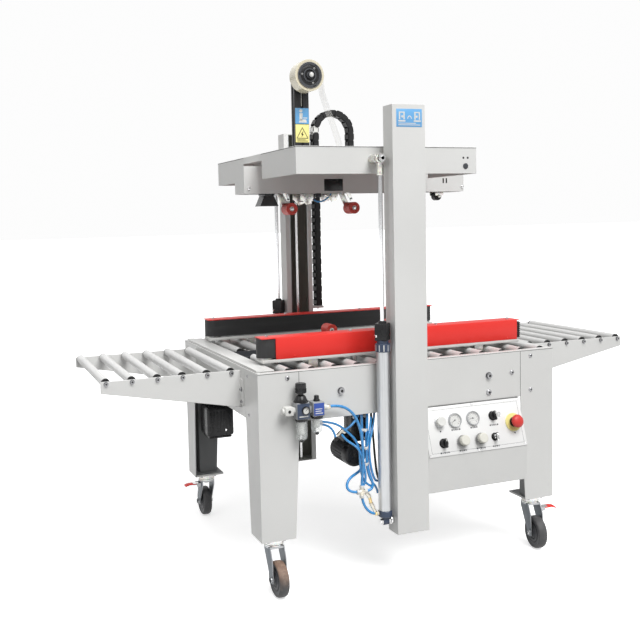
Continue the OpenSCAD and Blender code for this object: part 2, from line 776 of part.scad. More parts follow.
module control_box() {
    yb = -ctrl_back;
    zt = ctrl_top;
    zm = ctrl_top - ctrl_face_h;
    zl = zm - ctrl_low_h;
    yf = -hy - ctrl_lean;
    t = sheet;
    color(paint) difference() {
        yz_plate(ctrl_x0, ctrl_x1, [[yb, zt], [-hy, zt], [yf, zm], [yf + 8, zl], [yb, zl]]);
        yz_plate(ctrl_x0 + t, ctrl_x1 - t, [[yb - t, zt - t], [-hy + 2, zt - t], [yf + t + 1, zm],
            [yf + 8 + t, zl + t], [yb - t, zl + t]]);
        on_face(0, ctrl_len / 2)
            span([ctrl_x0 + 16, -ctrl_len / 2 + 14, -6], [ctrl_x1 - 16, ctrl_len / 2 - 14, 4]);
    }
}

// Local frame of the control face: x along the machine, y up the slope, z outward
module on_face(x, down) {
    translate([x, -hy, ctrl_top]) rotate([ctrl_tilt, 0, 0]) translate([0, -down, 0]) children();
}

module control_plate() {
    hole = stem_r + fit;
    color("white") difference() {
        on_face(0, ctrl_len / 2)
            span([ctrl_x0 + 2, -ctrl_len / 2 + 2, 0], [ctrl_x1 - 2, ctrl_len / 2 - 2, plate_t]);
        for (p = [[push_x, row_1], [key_x, row_1], [stop_x, row_stop], [mode_x, row_2],
                  [knob_x[0], row_2], [knob_x[1], row_2], [small_x, row_2]])
            on_face(p[0], p[1]) translate([0, 0, -10]) cylinder(h = 30, r = hole);
    }
    color(steel) for (x = gauge_x) on_face(x, row_1) translate([0, 0, plate_t]) cylinder(h = 8, r = 21);
    color("yellow") on_face(stop_x, row_stop) translate([0, 0, plate_t]) difference() {
        cylinder(h = 4, r = 27);
        translate([0, 0, -1]) cylinder(h = 6, r = hole);
    }
}

// Stem through the plate and a head of radius r from height z0, on the control face
module knob(x, down, r, z0, h) {
    on_face(x, down) union() {
        translate([0, 0, -8]) cylinder(h = z0 + 9, r = stem_r);
        translate([0, 0, z0]) cylinder(h = h, r = r);
    }
}

module push_button() {
    color("white") knob(push_x, row_1, 14, plate_t + 7, 12);
}

module estop_button() {
    color(red) union() {
        knob(stop_x, row_stop, 12, plate_t + 11, 10);
        on_face(stop_x, row_stop) translate([0, 0, plate_t + 20]) cylinder(h = 14, r = 19);
    }
}

module selector(x, down, r) {
    color(black) union() {
        knob(x, down, r, plate_t + 1, 9);
        on_face(x, down) span([-4, -r - 3, plate_t + 9], [4, r + 3, plate_t + 19]);
    }
}

module gauge_knob(x) {
    color("ivory") union() {
        knob(x, row_2, 15, plate_t + 1, 16);
        on_face(x, row_2) translate([0, 0, plate_t + 16]) cylinder(h = 5, r = 12);
    }
}

module air_unit() {
    color(zinc) difference() {
        union() {
            span([air_x - 19, air_y - 19, air_z - 24], [air_x + 19, air_y + 19, air_z + 22]);
            span([air_x + 18, air_y - 9, air_z - 9], [lube_x - 16, air_y + 9, air_z + 9]);
            span([lube_x - 17, air_y - 17, air_z - 20], [lube_x + 17, air_y + 17, air_z + 20]);
            x_cyl(air_y, air_z, lube_x + 16, lube_x + 40, 8);
            span([air_x - 56, air_y - 12, air_z - 12], [air_x - 18, air_y + 12, air_z + 12]);
            span([air_x - 12, air_y + 18, air_z - 14], [air_x + 12, -hy, air_z + 14]);
            translate([air_x, air_y, air_z + 21]) cylinder(h = 20, r = 19);
            translate([air_x, air_y, air_z + 40]) cylinder(h = 24, r = 7);
            translate([lube_x, air_y, air_z + 19]) cylinder(h = 18, r = 8);
            translate([air_x, air_y, air_z - 90]) cylinder(h = 67, r = 17);
            translate([lube_x, air_y, air_z - 74]) cylinder(h = 55, r = 17);
            y_cyl(air_x + 8, air_z, air_y - 24, air_y - 18, 11);
        }
        x_cyl(air_y, air_z, air_x - 57, air_x - 56 + inlet_deep, inlet_d / 2);
    }
}

module air_unit_knob() {
    color(black) difference() {
        translate([air_x, air_y, air_z + 46]) cylinder(h = 28, r = 16);
        translate([air_x, air_y, air_z + 40]) cylinder(h = 25, r = 7 + fit);
    }
}

// Tube swept along a route of points
module hose(route, r, sides = 8) {
    n = len(route);
    last = n - 1;
    rings = [for (i = [0:last]) let (
        ahead = route[min(i + 1, last)] - route[max(i - 1, 0)],
        t = ahead / norm(ahead),
        side = cross(t, [0, 1, 0.15]),
        u = side / norm(side),
        v = cross(t, u))
        for (k = [0:sides - 1]) route[i] + r * (cos(360 * k / sides) * u + sin(360 * k / sides) * v)];
    walls = [for (i = [0:last - 1]) for (k = [0:sides - 1]) let (m = (k + 1) % sides)
        [i * sides + k, (i + 1) * sides + k, (i + 1) * sides + m, i * sides + m]];
    start = [for (k = [0:sides - 1]) k];
    finish = [for (k = [0:sides - 1]) last * sides + sides - 1 - k];
    polyhedron(rings, concat(walls, [start, finish]));
}

module air_hoses() {
    color("dodgerblue") {
        hose(supply_route, hose_r);
        hose(cylinder_route, hose_r);
        hose(return_route, hose_r);
        hose(twin_route, hose_r);
    }
    color("goldenrod") union() {
        translate([tee[0], tee[1], tee[2] - 16]) cylinder(h = 32, r = 8);
        x_cyl(tee[1], tee[2], tee[0] - 14, tee[0] + 14, 7);
    }
}

legs();
body_panels();
bed_frame();
bed_rollers();
extension_frames();
columns();
lift_cylinders();
control_box();
control_plate();
air_unit();
air_hoses();
push_button();
estop_button();
selector(key_x, row_1, 11);  // key_selector
selector(mode_x, row_2, 11);  // mode_selector
selector(small_x, row_2, 9);  // small_selector
gauge_knob(knob_x[0]);  // gauge_knob_left
gauge_knob(knob_x[1]);  // gauge_knob_right
air_unit_knob();
head_bridge();
head_channel();
lift_rods();
tape_mast();
tape_reel();
drag_chain();
arm(upper_front_x, upper_wipe_z, 1);  // upper_arm_front
arm(upper_front_x + wipe_pitch, upper_wipe_z, 1);  // upper_arm_rear
wipe_roller(upper_front_x, upper_wipe_z);  // upper_roller_front
wipe_roller(upper_front_x + wipe_pitch, upper_wipe_z);  // upper_roller_rear
side_unit_front();
side_unit_back();
mirror([0, 1, 0]) side_belt();  // side_belt_front
side_belt();  // side_belt_back
lower_cartridge();
arm(lower_front_x, lower_wipe_z, -1);  // lower_arm_front
arm(lower_front_x + wipe_pitch, lower_wipe_z, -1);  // lower_arm_rear
wipe_roller(lower_front_x, lower_wipe_z);  // lower_roller_front
wipe_roller(lower_front_x + wipe_pitch, lower_wipe_z);  // lower_roller_rear
for (i = [1:4]) {
    at_caster(i) fork(i == 2 || i == 3);
    at_caster(i) wheel();
}
for (i = [1:2])
    at_caster(i + 1) brake_pedal();
for (i = [1:6]) {
    roller(-ext_x[6 - i]);
    roller(ext_x[i - 1]);
}
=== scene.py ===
"""Carton sealer: the visible model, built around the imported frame."""

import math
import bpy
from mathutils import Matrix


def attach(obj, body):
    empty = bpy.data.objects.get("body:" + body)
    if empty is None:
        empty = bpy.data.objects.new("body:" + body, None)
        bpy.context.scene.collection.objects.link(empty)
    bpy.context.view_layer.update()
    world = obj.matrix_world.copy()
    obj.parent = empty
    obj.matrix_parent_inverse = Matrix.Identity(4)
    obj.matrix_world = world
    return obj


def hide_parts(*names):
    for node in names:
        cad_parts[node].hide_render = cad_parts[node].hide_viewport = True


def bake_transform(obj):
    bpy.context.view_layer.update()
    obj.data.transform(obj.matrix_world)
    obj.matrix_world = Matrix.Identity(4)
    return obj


bl_info = {
    "name": "Carton sealer",
    "version": (1, 0, 0),
    "blender": (4, 5, 0),
    "location": "View3D > Sidebar > Sealer",
    "description": "Builds a side-belt carton sealer with a pneumatic lift head",
    "category": "Object",
}

import bmesh
import bpy
from bpy.props import FloatProperty, FloatVectorProperty, PointerProperty
from mathutils import Matrix, Vector

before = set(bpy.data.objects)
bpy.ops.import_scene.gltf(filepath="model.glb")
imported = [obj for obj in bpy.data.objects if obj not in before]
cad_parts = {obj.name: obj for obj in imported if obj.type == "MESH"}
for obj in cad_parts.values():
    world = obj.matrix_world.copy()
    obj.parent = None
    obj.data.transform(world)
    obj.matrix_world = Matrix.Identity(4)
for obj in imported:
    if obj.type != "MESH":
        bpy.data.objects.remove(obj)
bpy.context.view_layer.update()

MM = 0.001
TURN = 2 * math.pi
BODY = "frame"
ORIGIN, UP, DOWN, FRONT, BACK = (0, 0, 0), (0, 0, 1), (0, 0, -1), (0, -1, 0), (0, 1, 0)

# Sizes repeated from the CAD, in millimetres
HALF_LEN, HALF_WID = 484, 386
FOOT, PANEL = 160, 488
EXT_Y, EXT_TOP = 242, 620
EXT_AXIS, EXT_FIRST, EXT_PITCH = 615, 512, 70.6
BED_AXIS, BED_FIRST, BED_PITCH, BED_COUNT = 621.8, -455, 70, 14
COL_X, COL_HALF, COL_DEPTH, COL_TOP = -43, 51, 56, 1352
GUIDE_Y = 414
CYL_X, CYL_Y = -119, 413
HEAD_Y, HEAD_X0, HEAD_X1, HEAD_Z1 = 365, -350, 225, 1243
SLIDE_X, SLIDE_Z = 280, 575.5
REEL_X, REEL_Z = -160, 1492
UNIT_IN, UNIT_OUT, UNIT_Z = 237, 297, 641
AIR = Vector((-369, -410, 526))
LUBE_X = -323
FACE_DROP, FACE_LEAN = 141, 47


# ---------------------------------------------------------------- sizes and colours

def size(label, default, about):
    return FloatProperty(name=label, description=about, default=default, min=0.01, unit="NONE")


def tone(label, default, about):
    return FloatVectorProperty(name=label, description=about, default=default, subtype="COLOR",
                               size=3, min=0, max=1)


class SealerSizes(bpy.types.PropertyGroup):
    edge: size("Edge radius", 0.9, "Radius of the folded and cut sheet edges, mm")
    roller_cap: size("Roller cap", 5.0, "Length of the black roller end caps, mm")
    bolt: size("Bolt head", 12.0, "Diameter of the common bolt heads, mm")
    hose: size("Hose", 8.0, "Outside diameter of the air hoses, mm")
    link: size("Chain link", 25.5, "Pitch of the cable chain links, mm")
    lens: size("Lens", 49.06, "Focal length of the camera, mm")


class SealerColours(bpy.types.PropertyGroup):
    paint: tone("Paint", (0.71, 0.71, 0.695), "Body powder coat")
    red: tone("Red", (0.80, 0.022, 0.014), "Belt covers and brake pedals")
    roller: tone("Roller", (0.70, 0.70, 0.69), "Coated roller tubes")
    tape: tone("Tape", (0.72, 0.66, 0.50), "Packing tape")
    hose: tone("Hose", (0.035, 0.27, 0.62), "Air hoses")
    blue: tone("Blue label", (0.15, 0.42, 0.76), "Blue labels")
    yellow: tone("Yellow label", (0.88, 0.80, 0.30), "Yellow labels and the stop plate")
    floor: tone("Floor", (0.90, 0.90, 0.90), "Studio floor")


def sizes():
    return bpy.context.scene.sealer_sizes


def colours():
    return bpy.context.scene.sealer_colours


# ---------------------------------------------------------------- finishes

class Wire:
    """A shader socket that works in Python expressions."""

    def __init__(self, finish, socket):
        self.finish, self.socket = finish, socket

    def _math(self, operation, *values):
        return self.finish.node("ShaderNodeMath", {"operation": operation}, dict(enumerate(values)))

    def __add__(self, other):
        return self._math("ADD", self, other)

    def __sub__(self, other):
        return self._math("SUBTRACT", self, other)

    def __mul__(self, other):
        return self._math("MULTIPLY", self, other)

    __radd__ = __add__
    __rmul__ = __mul__

    def near(self, value, reach):
        return self._math("COMPARE", self, value, reach)

    def wave(self, pitch):
        """0 to 1 across each pitch."""
        return self._math("FRACT", self * (1 / pitch))

    def fade(self, low, high):
        return self.finish.node("ShaderNodeMapRange", {"interpolation_type": "SMOOTHSTEP"},
                                {0: self, 1: low, 2: high})


class Finish:
    """A procedural material on a Principled shader."""

    made = {}

    def __init__(self, name):
        self.material = bpy.data.materials.new(name)
        self.material.use_nodes = True
        self.tree = self.material.node_tree
        self.shader = self.tree.nodes["Principled BSDF"]
        self.place = self.node("ShaderNodeTexCoord", out="Object")

    def node(self, kind, settings=None, inputs=None, out=0):
        made = self.tree.nodes.new(kind)
        for key, value in (settings or {}).items():
            setattr(made, key, value)
        for key, value in (inputs or {}).items():
            if isinstance(value, Wire):
                self.tree.links.new(value.socket, made.inputs[key])
            else:
                made.inputs[key].default_value = value
        return Wire(self, made.outputs[out])

    def stretched(self, x, y, z):
        return self.node("ShaderNodeMapping", None, {0: self.place, 3: (x, y, z)})

    def noise(self, scale, detail=2.0, rough=0.5, place=None):
        inputs = {"Vector": place or self.place, "Scale": scale, "Detail": detail, "Roughness": rough}
        return self.node("ShaderNodeTexNoise", None, inputs)

    def axis(self, letter):
        return self.node("ShaderNodeSeparateXYZ", None, {0: self.place}, out=letter)

    def blend(self, share, a, b):
        def colour(value):
            return value if isinstance(value, Wire) else (*value, 1.0)
        return self.node("ShaderNodeMix", {"data_type": "RGBA"}, {0: share, 6: colour(a), 7: colour(b)}, out=2)

    def bump(self, height, depth, under=None):
        inputs = {"Height": height, "Distance": depth, "Strength": 1.0}
        if under:
            inputs["Normal"] = under
        return self.node("ShaderNodeBump", None, inputs)

    def set(self, **values):
        for key, value in values.items():
            socket = self.shader.inputs[key.replace("_", " ")]
            if isinstance(value, Wire):
                self.tree.links.new(value.socket, socket)
            elif socket.type == "RGBA":
                socket.default_value = (*value, 1.0)
            else:
                socket.default_value = value
        return self.material


def shade(colour, factor):
    return tuple(min(1.0, c * factor) for c in colour)


def finish(name):
    """The named finish, made once."""
    if name not in Finish.made:
        if name in RECIPES:
            recipe, colour, *values = RECIPES[name]
            if isinstance(colour, str):
                colour = getattr(colours(), colour)
            Finish.made[name] = recipe(Finish(name), colour, *values)
        else:
            Finish.made[name] = SPECIAL[name](Finish(name))
    return Finish.made[name]


def powder_coat(f, colour, rough, gloss=0.0, dirt=0.10):
    """Sprayed coat: orange peel, faint unevenness, and a little dust in patches."""
    cloud = f.noise(2.6, 4.0).fade(0.35, 0.75)
    speck = f.noise(420.0, 2.0).fade(0.58, 0.80)
    dust = f.noise(23.0, 5.0, 0.65).fade(0.56, 0.82) * dirt
    base = f.blend(cloud, shade(colour, 0.97), shade(colour, 1.03))
    base = f.blend(speck * 0.10, base, shade(colour, 0.80))
    base = f.blend(dust, base, shade(colour, 0.72))
    peel = f.noise(760.0, 2.0)
    return f.set(Base_Color=base, Roughness=rough + 0.10 * cloud + 0.12 * dust,
                 Coat_Weight=gloss, Coat_Roughness=0.12, Normal=f.bump(peel, 0.00006))


def roller_tube(f):
    """Coated tube: fine rings round the tube and rub marks along its middle."""
    rings = f.noise(60.0, 3.0, place=f.stretched(1, 14, 1))
    rub = f.noise(9.0, 4.0, place=f.stretched(1, 0.35, 1)).fade(0.45, 0.8)
    colour = colours().roller
    base = f.blend(rings.fade(0.3, 0.8), shade(colour, 0.95), shade(colour, 1.04))
    base = f.blend(rub * 0.25, base, shade(colour, 0.78))
    return f.set(Base_Color=base, Roughness=0.44 + 0.16 * rub,
                 Normal=f.bump(rings, 0.00003))


def brushed(f, colour, rough, stretch, metal=1.0, stain=0.2):
    grain = f.noise(300.0, 3.0, 0.6, f.stretched(*stretch))
    patch = f.noise(14.0, 4.0).fade(0.4, 0.8)
    base = f.blend(grain.fade(0.25, 0.8), shade(colour, 0.84), shade(colour, 1.06))
    base = f.blend(patch * stain, base, shade(colour, 0.66))
    return f.set(Base_Color=base, Roughness=rough + 0.18 * grain + 0.08 * patch, Metallic=metal,
                 Normal=f.bump(grain, 0.00002))


def zinc_plate(f):
    """Bright zinc with a spangle and a faint warm tint."""
    cell = f.node("ShaderNodeTexVoronoi", None, {"Vector": f.place, "Scale": 240.0}, out="Color")
    tint = f.noise(30.0, 3.0).fade(0.4, 0.75)
    base = f.blend(tint, (0.62, 0.62, 0.60), (0.70, 0.67, 0.58))
    base = f.blend(0.10, base, cell)
    return f.set(Base_Color=base, Roughness=0.26 + 0.14 * tint, Metallic=1.0,
                 Normal=f.bump(f.noise(500.0, 2.0), 0.00002))


def piston_chrome(f):
    rings = f.noise(700.0, 2.0, 0.5, f.stretched(0.1, 0.1, 1))
    return f.set(Base_Color=f.blend(rings, (0.70, 0.71, 0.72), (0.80, 0.80, 0.81)),
                 Roughness=0.07 + 0.08 * rings, Metallic=1.0)


def plastic(f, colour, rough, worn=0.12, shine=0.5, grain=900.0, depth=0.00003):
    fine = f.noise(grain, 2.0)
    smear = f.noise(34.0, 4.0).fade(0.45, 0.8)
    base = f.blend(smear * worn, colour, shade(colour, 1.6))
    base = f.blend(fine * 0.15, base, shade(colour, 0.8))
    return f.set(Base_Color=base, Roughness=rough + 0.12 * smear, Specular_IOR_Level=shine,
                 Normal=f.bump(fine, depth))


def dark_motor(f):
    f.set(Specular_IOR_Level=0.3)
    return powder_coat(f, (0.045, 0.047, 0.050), 0.42, 0.0, 0.2)


def belt_rubber(f):
    """Drive belt: fine cross ribs with a scuffed face."""
    ribs = f.axis("X").wave(0.004).near(0.5, 0.30)
    scuff = f.noise(46.0, 4.0, 0.6, f.stretched(0.12, 1, 1)).fade(0.48, 0.8)
    base = f.blend(scuff * 0.5, (0.016, 0.016, 0.017), (0.055, 0.055, 0.056))
    grain = f.bump(f.noise(800.0, 2.0), 0.00006)
    return f.set(Base_Color=base, Roughness=0.55 + 0.2 * scuff, Normal=f.bump(ribs, 0.00025, grain))


def caster_tread(f, colour):
    scuff = f.noise(70.0, 4.0, 0.6).fade(0.42, 0.78)
    base = f.blend(scuff, colour, shade(colour, 1.9))
    return f.set(Base_Color=base, Roughness=0.55 + 0.25 * scuff, Normal=f.bump(f.noise(420.0, 3.0), 0.0001))


def grey_tread(f):
    return caster_tread(f, (0.055, 0.055, 0.057))


def brown_tread(f):
    """Grey tread that turns lighter and rust-brown towards its upper part."""
    stain = (f.axis("Z") + 0.03 * f.noise(40.0, 3.0)).fade(0.048, 0.104)
    scuff = f.noise(70.0, 4.0, 0.6).fade(0.42, 0.78)
    base = f.blend(scuff, (0.055, 0.055, 0.057), (0.11, 0.11, 0.11))
    base = f.blend(stain, base, f.blend(scuff, (0.20, 0.125, 0.090), (0.34, 0.24, 0.18)))
    return f.set(Base_Color=base, Roughness=0.55 + 0.25 * scuff, Normal=f.bump(f.noise(420.0, 3.0), 0.0001))


def silicone_red(f):
    scuff = f.noise(90.0, 3.0).fade(0.45, 0.8)
    base = f.blend(scuff, (0.62, 0.045, 0.03), (0.70, 0.13, 0.10))
    return f.set(Base_Color=base, Roughness=0.48 + 0.2 * scuff, Normal=f.bump(f.noise(600.0, 2.0), 0.00005))


def rolled_tape(f):
    """Tan film wound on its core: glossy outside, fine rings on the sides."""
    x, z = f.axis("X") - REEL_X * MM, f.axis("Z") - REEL_Z * MM
    radius = (x * x + z * z)._math("SQRT", x * x + z * z)
    rings = f.noise(1400.0, 2.0, 0.5, f.node("ShaderNodeCombineXYZ", None, {0: radius}))
    colour = colours().tape
    base = f.blend(rings.fade(0.3, 0.7), shade(colour, 0.8), shade(colour, 1.15))
    return f.set(Base_Color=base, Roughness=0.22 + 0.2 * rings, Coat_Weight=0.4, Coat_Roughness=0.1,
                 Normal=f.bump(rings, 0.00004))


def spare_tape(f):
    rings = f.noise(600.0, 2.0, 0.5, f.stretched(1, 0.02, 1))
    colour = colours().tape
    return f.set(Base_Color=f.blend(rings, shade(colour, 0.85), shade(colour, 1.15)), Roughness=0.25 + 0.1 * rings)


def tape_film(f):
    streak = f.noise(120.0, 3.0, 0.5, f.stretched(1, 1, 0.05))
    return f.set(Base_Color=f.blend(streak, (0.86, 0.84, 0.80), (0.95, 0.94, 0.92)), Roughness=0.14 + 0.1 * streak,
                 Alpha=0.16)


def clear_bowl(f):
    haze = f.noise(80.0, 3.0)
    return f.set(Base_Color=f.blend(haze, (0.80, 0.84, 0.82), (0.90, 0.92, 0.90)), Roughness=0.10 + 0.08 * haze,
                 Alpha=0.24, Coat_Weight=0.8, Coat_Roughness=0.04)


def gauge_glass(f):
    haze = f.noise(60.0, 2.0)
    return f.set(Base_Color=f.blend(haze, (0.95, 0.95, 0.95), (1.0, 1.0, 1.0)), Roughness=0.04 + 0.04 * haze,
                 Alpha=0.12)


def air_hose(f):
    streak = f.noise(160.0, 3.0)
    colour = colours().hose
    return f.set(Base_Color=f.blend(streak, shade(colour, 0.85), shade(colour, 1.25)), Roughness=0.22 + 0.12 * streak,
                 Coat_Weight=0.3, Coat_Roughness=0.08)


def bristle(f):
    strand = f.noise(900.0, 2.0, 0.5, f.stretched(1, 1, 0.03))
    return f.set(Base_Color=f.blend(strand, (0.008, 0.008, 0.008), (0.06, 0.06, 0.06)), Roughness=0.85 + 0.1 * strand,
                 Normal=f.bump(strand, 0.0004))


def studio_floor(f):
    soft = f.noise(0.7, 3.0)
    colour = colours().floor
    base = f.blend(soft, shade(colour, 0.99), shade(colour, 1.01))
    return f.set(Base_Color=base, Roughness=0.75 + 0.1 * soft, Emission_Color=base, Emission_Strength=0.62)


# Finishes that only fill in a recipe. A colour given by name is one of the panel's colours.
# powder_coat: colour, roughness, coat, dust; brushed: colour, roughness, grain, metal, stain;
# plastic: colour, roughness, wear, shine, grain, depth.
RECIPES = {
    "coated_paint": (powder_coat, "paint", 0.42, 0.10),
    "white_plate": (powder_coat, (0.82, 0.82, 0.81), 0.38, 0.10, 0.05),
    "cover_red": (powder_coat, "red", 0.45, 0.10, 0.06),
    "pale_base": (powder_coat, (0.62, 0.62, 0.60), 0.45, 0.0, 0.14),
    "grey_box": (powder_coat, (0.34, 0.35, 0.36), 0.42, 0.1),
    # Painted shade for the legs' inner posts and the rear legs' forward faces.
    "inner_post": (powder_coat, (0.23, 0.235, 0.24), 0.5, 0.0),
    "bolt_steel": (brushed, (0.36, 0.36, 0.37), 0.30, (1, 1, 1), 0.9, 0.2),
    # Painted shade for the caster forks' side faces.
    "fork_side": (brushed, (0.13, 0.15, 0.17), 0.32, (1, 1, 0.2), 0.5, 0.3),
    "fork_steel": (brushed, (0.42, 0.43, 0.44), 0.28, (1, 1, 0.2), 0.9, 0.3),
    "bright_steel": (brushed, (0.72, 0.72, 0.72), 0.12, (1, 1, 0.05), 1.0, 0.06),
    "tube_alloy": (brushed, (0.52, 0.53, 0.54), 0.30, (1, 1, 0.02), 0.9, 0.1),
    "black_alloy": (brushed, (0.045, 0.045, 0.048), 0.32, (1, 1, 0.02), 0.75, 0.05),
    "brass": (brushed, (0.72, 0.55, 0.28), 0.22, (1, 1, 1), 1.0, 0.1),
    "nickel": (brushed, (0.60, 0.56, 0.48), 0.2, (1, 1, 1), 1.0, 0.1),
    "black_plastic": (plastic, (0.018, 0.018, 0.019), 0.46, 0.2, 0.25),
    "gloss_black": (plastic, (0.014, 0.014, 0.015), 0.26, 0.15, 0.3),
    "white_plastic": (plastic, (0.74, 0.74, 0.71), 0.32, 0.0),
    "ivory_plastic": (plastic, (0.72, 0.71, 0.64), 0.38, 0.0),
    "stop_red": (plastic, (0.62, 0.035, 0.028), 0.42, 0.05),
    "stop_yellow": (plastic, "yellow", 0.4, 0.0),
    "blue_end": (plastic, (0.032, 0.050, 0.095), 0.4, 0.1),
    "blue_label": (plastic, "blue", 0.35, 0.08),
    "deep_blue": (plastic, (0.035, 0.085, 0.38), 0.32, 0.08),
    "collar_grey": (plastic, (0.30, 0.30, 0.29), 0.4, 0.1),
    "slate": (plastic, (0.060, 0.063, 0.070), 0.42, 0.15, 0.25, 600.0, 0.00004),
    # Painted shade for the inside of the columns.
    "liner": (plastic, (0.26, 0.265, 0.235), 0.6, 0.1),
    "card": (plastic, (0.36, 0.24, 0.13), 0.7, 0.1, 0.5, 300.0, 0.0001),
    "shadow_gap": (plastic, (0.010, 0.010, 0.011), 0.7, 0.3),
}
SPECIAL = {made.__name__: made for made in (
    roller_tube, zinc_plate, piston_chrome, dark_motor, belt_rubber, grey_tread, brown_tread, silicone_red,
    rolled_tape, spare_tape, tape_film, clear_bowl, gauge_glass, air_hose, bristle, studio_floor)}


# ---------------------------------------------------------------- shapes

class Shape:
    """A mesh in the making, in millimetres. Each part takes the number of its finish."""

    def __init__(self, place=None):
        self.bm = bmesh.new()
        self.place = place or Matrix.Identity(4)
        # Finish number for painted shade under bolt heads and in bolt and screw recesses; None leaves it out.
        self.dark = None

    def _settle(self, verts, finish_no, closed=True):
        faces = list({f for v in verts for f in v.link_faces})
        for f in faces:
            f.material_index = finish_no
        if closed:
            bmesh.ops.recalc_face_normals(self.bm, faces=faces)
        bmesh.ops.transform(self.bm, matrix=self.place, verts=verts)
        return faces

    def _round(self, verts, radius, segments):
        edges = list({e for v in verts for e in v.link_edges
                      if len(e.link_faces) == 2 and e.calc_face_angle(0) > 0.6})
        made = bmesh.ops.bevel(self.bm, geom=edges, offset=radius, offset_type="OFFSET", segments=segments,
                               profile=0.5, affect="EDGES", clamp_overlap=True, material=-1)
        left = {v for v in verts if v.is_valid} | {v for v in made["verts"] if v.is_valid}
        return list(left)

    def block(self, low, high, no=0, round_=0.0, segments=2):
        low, high = Vector(low), Vector(high)
        mid, full = (low + high) / 2, high - low
        spot = Matrix.Translation(mid) @ Matrix.Diagonal((*full, 1))
        verts = bmesh.ops.create_cube(self.bm, size=1, matrix=spot)["verts"]
        if round_:
            verts = self._round(verts, round_, segments)
        return self._settle(verts, no)

    def rod(self, start, end, radius, no=0, tip=None, sides=24, round_=0.0):
        start, end = Vector(start), Vector(end)
        run = end - start
        turn = run.to_track_quat("Z", "Y").to_matrix().to_4x4()
        spot = Matrix.Translation((start + end) / 2) @ turn
        verts = bmesh.ops.create_cone(self.bm, cap_ends=True, segments=sides, radius1=radius,
                                      radius2=radius if tip is None else tip, depth=run.length, matrix=spot)["verts"]
        if round_:
            verts = self._round(verts, round_, 2)
        return self._settle(verts, no)

    def lathe(self, outline, centre, axis, no=0, sides=40, ring=False):
        """Outline points are distance from the axis and height along it; a ring's outline closes on itself."""
        centre, axis = Vector(centre), Vector(axis).normalized()
        out = axis.orthogonal().normalized()
        verts = [self.bm.verts.new(centre + out * r + axis * h) for r, h in outline]
        pairs = zip(verts, verts[1:] + verts[:1]) if ring else zip(verts, verts[1:])
        edges = [self.bm.edges.new(pair) for pair in pairs]
        made = bmesh.ops.spin(self.bm, geom=verts + edges, cent=centre, axis=axis, angle=TURN, steps=sides,
                              use_merge=True)
        every = set(verts) | {g for g in made["geom_last"] if isinstance(g, bmesh.types.BMVert)}
        reached, edge_of_search = set(every), list(every)
        while edge_of_search:
            for e in edge_of_search.pop().link_edges:
                for v in e.verts:
                    if v not in reached:
                        reached.add(v)
                        edge_of_search.append(v)
        every = [v for v in reached if v.is_valid]
        bmesh.ops.remove_doubles(self.bm, verts=every, dist=1e-4)
        every = [v for v in every if v.is_valid]
        return self._settle(every, no)

    def prism(self, outline, plane, low, high, no=0, round_=0.0, segments=2):
        """Outline in the plane of two named axes, pushed from low to high along the third."""
        a, b = ("xyz".index(c) for c in plane)
        c = 3 - a - b
        verts = []
        for p, q in outline:
            spot = Vector(ORIGIN)
            spot[a], spot[b], spot[c] = p, q, low
            verts.append(self.bm.verts.new(spot))
        face = self.bm.faces.new(verts)
        made = bmesh.ops.extrude_face_region(self.bm, geom=[face])
        top = [g for g in made["geom"] if isinstance(g, bmesh.types.BMVert)]
        push = Vector(ORIGIN)
        push[c] = high - low
        bmesh.ops.translate(self.bm, vec=push, verts=top)
        verts = verts + top
        if round_:
            verts = self._round(verts, round_, segments)
        return self._settle(verts, no)

    def bolt(self, head, axis, radius=6.0, no=0, tall=None):
        """Socket or hex bolt head with a washer, standing on the point head. With a painted-shade finish set, a ring of
        painted shadow under the head and painted shade in the socket.
        """
        axis = Vector(axis).normalized()
        tall = tall or radius * 0.8
        head = Vector(head)
        top = head + axis * (1.2 + tall)
        self.rod(head, head + axis * 1.2, radius * 1.35, no, sides=20)
        if self.dark is None:
            self.rod(head + axis * 1.2, top, radius, no, sides=6, round_=radius * 0.1)
            self.rod(top, top + axis * 0.4, radius * 0.45, no, sides=12)
        else:
            # Painted shadow ring under the head, then painted shade in the socket on top.
            self.rod(head + axis * 1.2, head + axis * 1.6, radius * 1.12, self.dark, sides=20)
            self.rod(head + axis * 1.6, top, radius, no, sides=24, round_=radius * 0.14)
            self.rod(top, top + axis * 0.3, radius * 0.55, self.dark, sides=6)

    def screw(self, head, axis, radius=4.0, no=0):
        """Domed screw head with a recess, which holds painted shade when a painted-shade finish is set."""
        r = radius
        dome = [(0, r * 0.20), (r * 0.35, r * 0.20), (r * 0.42, r * 0.58), (r * 0.72, r * 0.46), (r, r * 0.12), (r, 0),
                (0, 0)]
        self.lathe(dome, head, axis, no, sides=16)
        if self.dark is not None:
            head, axis = Vector(head), Vector(axis).normalized()
            # Painted shade in the recess.
            self.rod(head + axis * r * 0.1, head + axis * r * 0.32, r * 0.37, self.dark, sides=12)

    def text_bars(self, low, high, rows, no=0, gap=0.5):
        """Plain rows of short bars that stand for printed words, lying just proud of a face normal to -Y."""
        low, high = Vector(low), Vector(high)
        step = (high.z - low.z) / rows
        for row in range(rows):
            z = low.z + (row + 0.5) * step
            share = (1.0, 0.8, 0.9, 0.6)[row % 4]
            right = low.x + (high.x - low.x) * share
            self.block((low.x, low.y - gap, z - step * 0.2), (right, low.y, z + step * 0.2), no)


def add_piece(name, shape, body, finishes, replaces=(), crease=32):
    """Turns a shape into an object that rides on a body."""
    bm = shape.bm
    bmesh.ops.transform(bm, matrix=Matrix.Scale(MM, 4), verts=bm.verts)
    mesh = bpy.data.meshes.new(name)
    bm.to_mesh(mesh)
    bm.free()
    for f in finishes:
        mesh.materials.append(finish(f))
    mesh.polygons.foreach_set("use_smooth", [True] * len(mesh.polygons))
    mesh.set_sharp_from_angle(angle=math.radians(crease))
    obj = bpy.data.objects.new(name, mesh)
    bpy.context.scene.collection.objects.link(obj)
    if replaces:
        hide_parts(*replaces)
    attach(obj, body)
    return obj


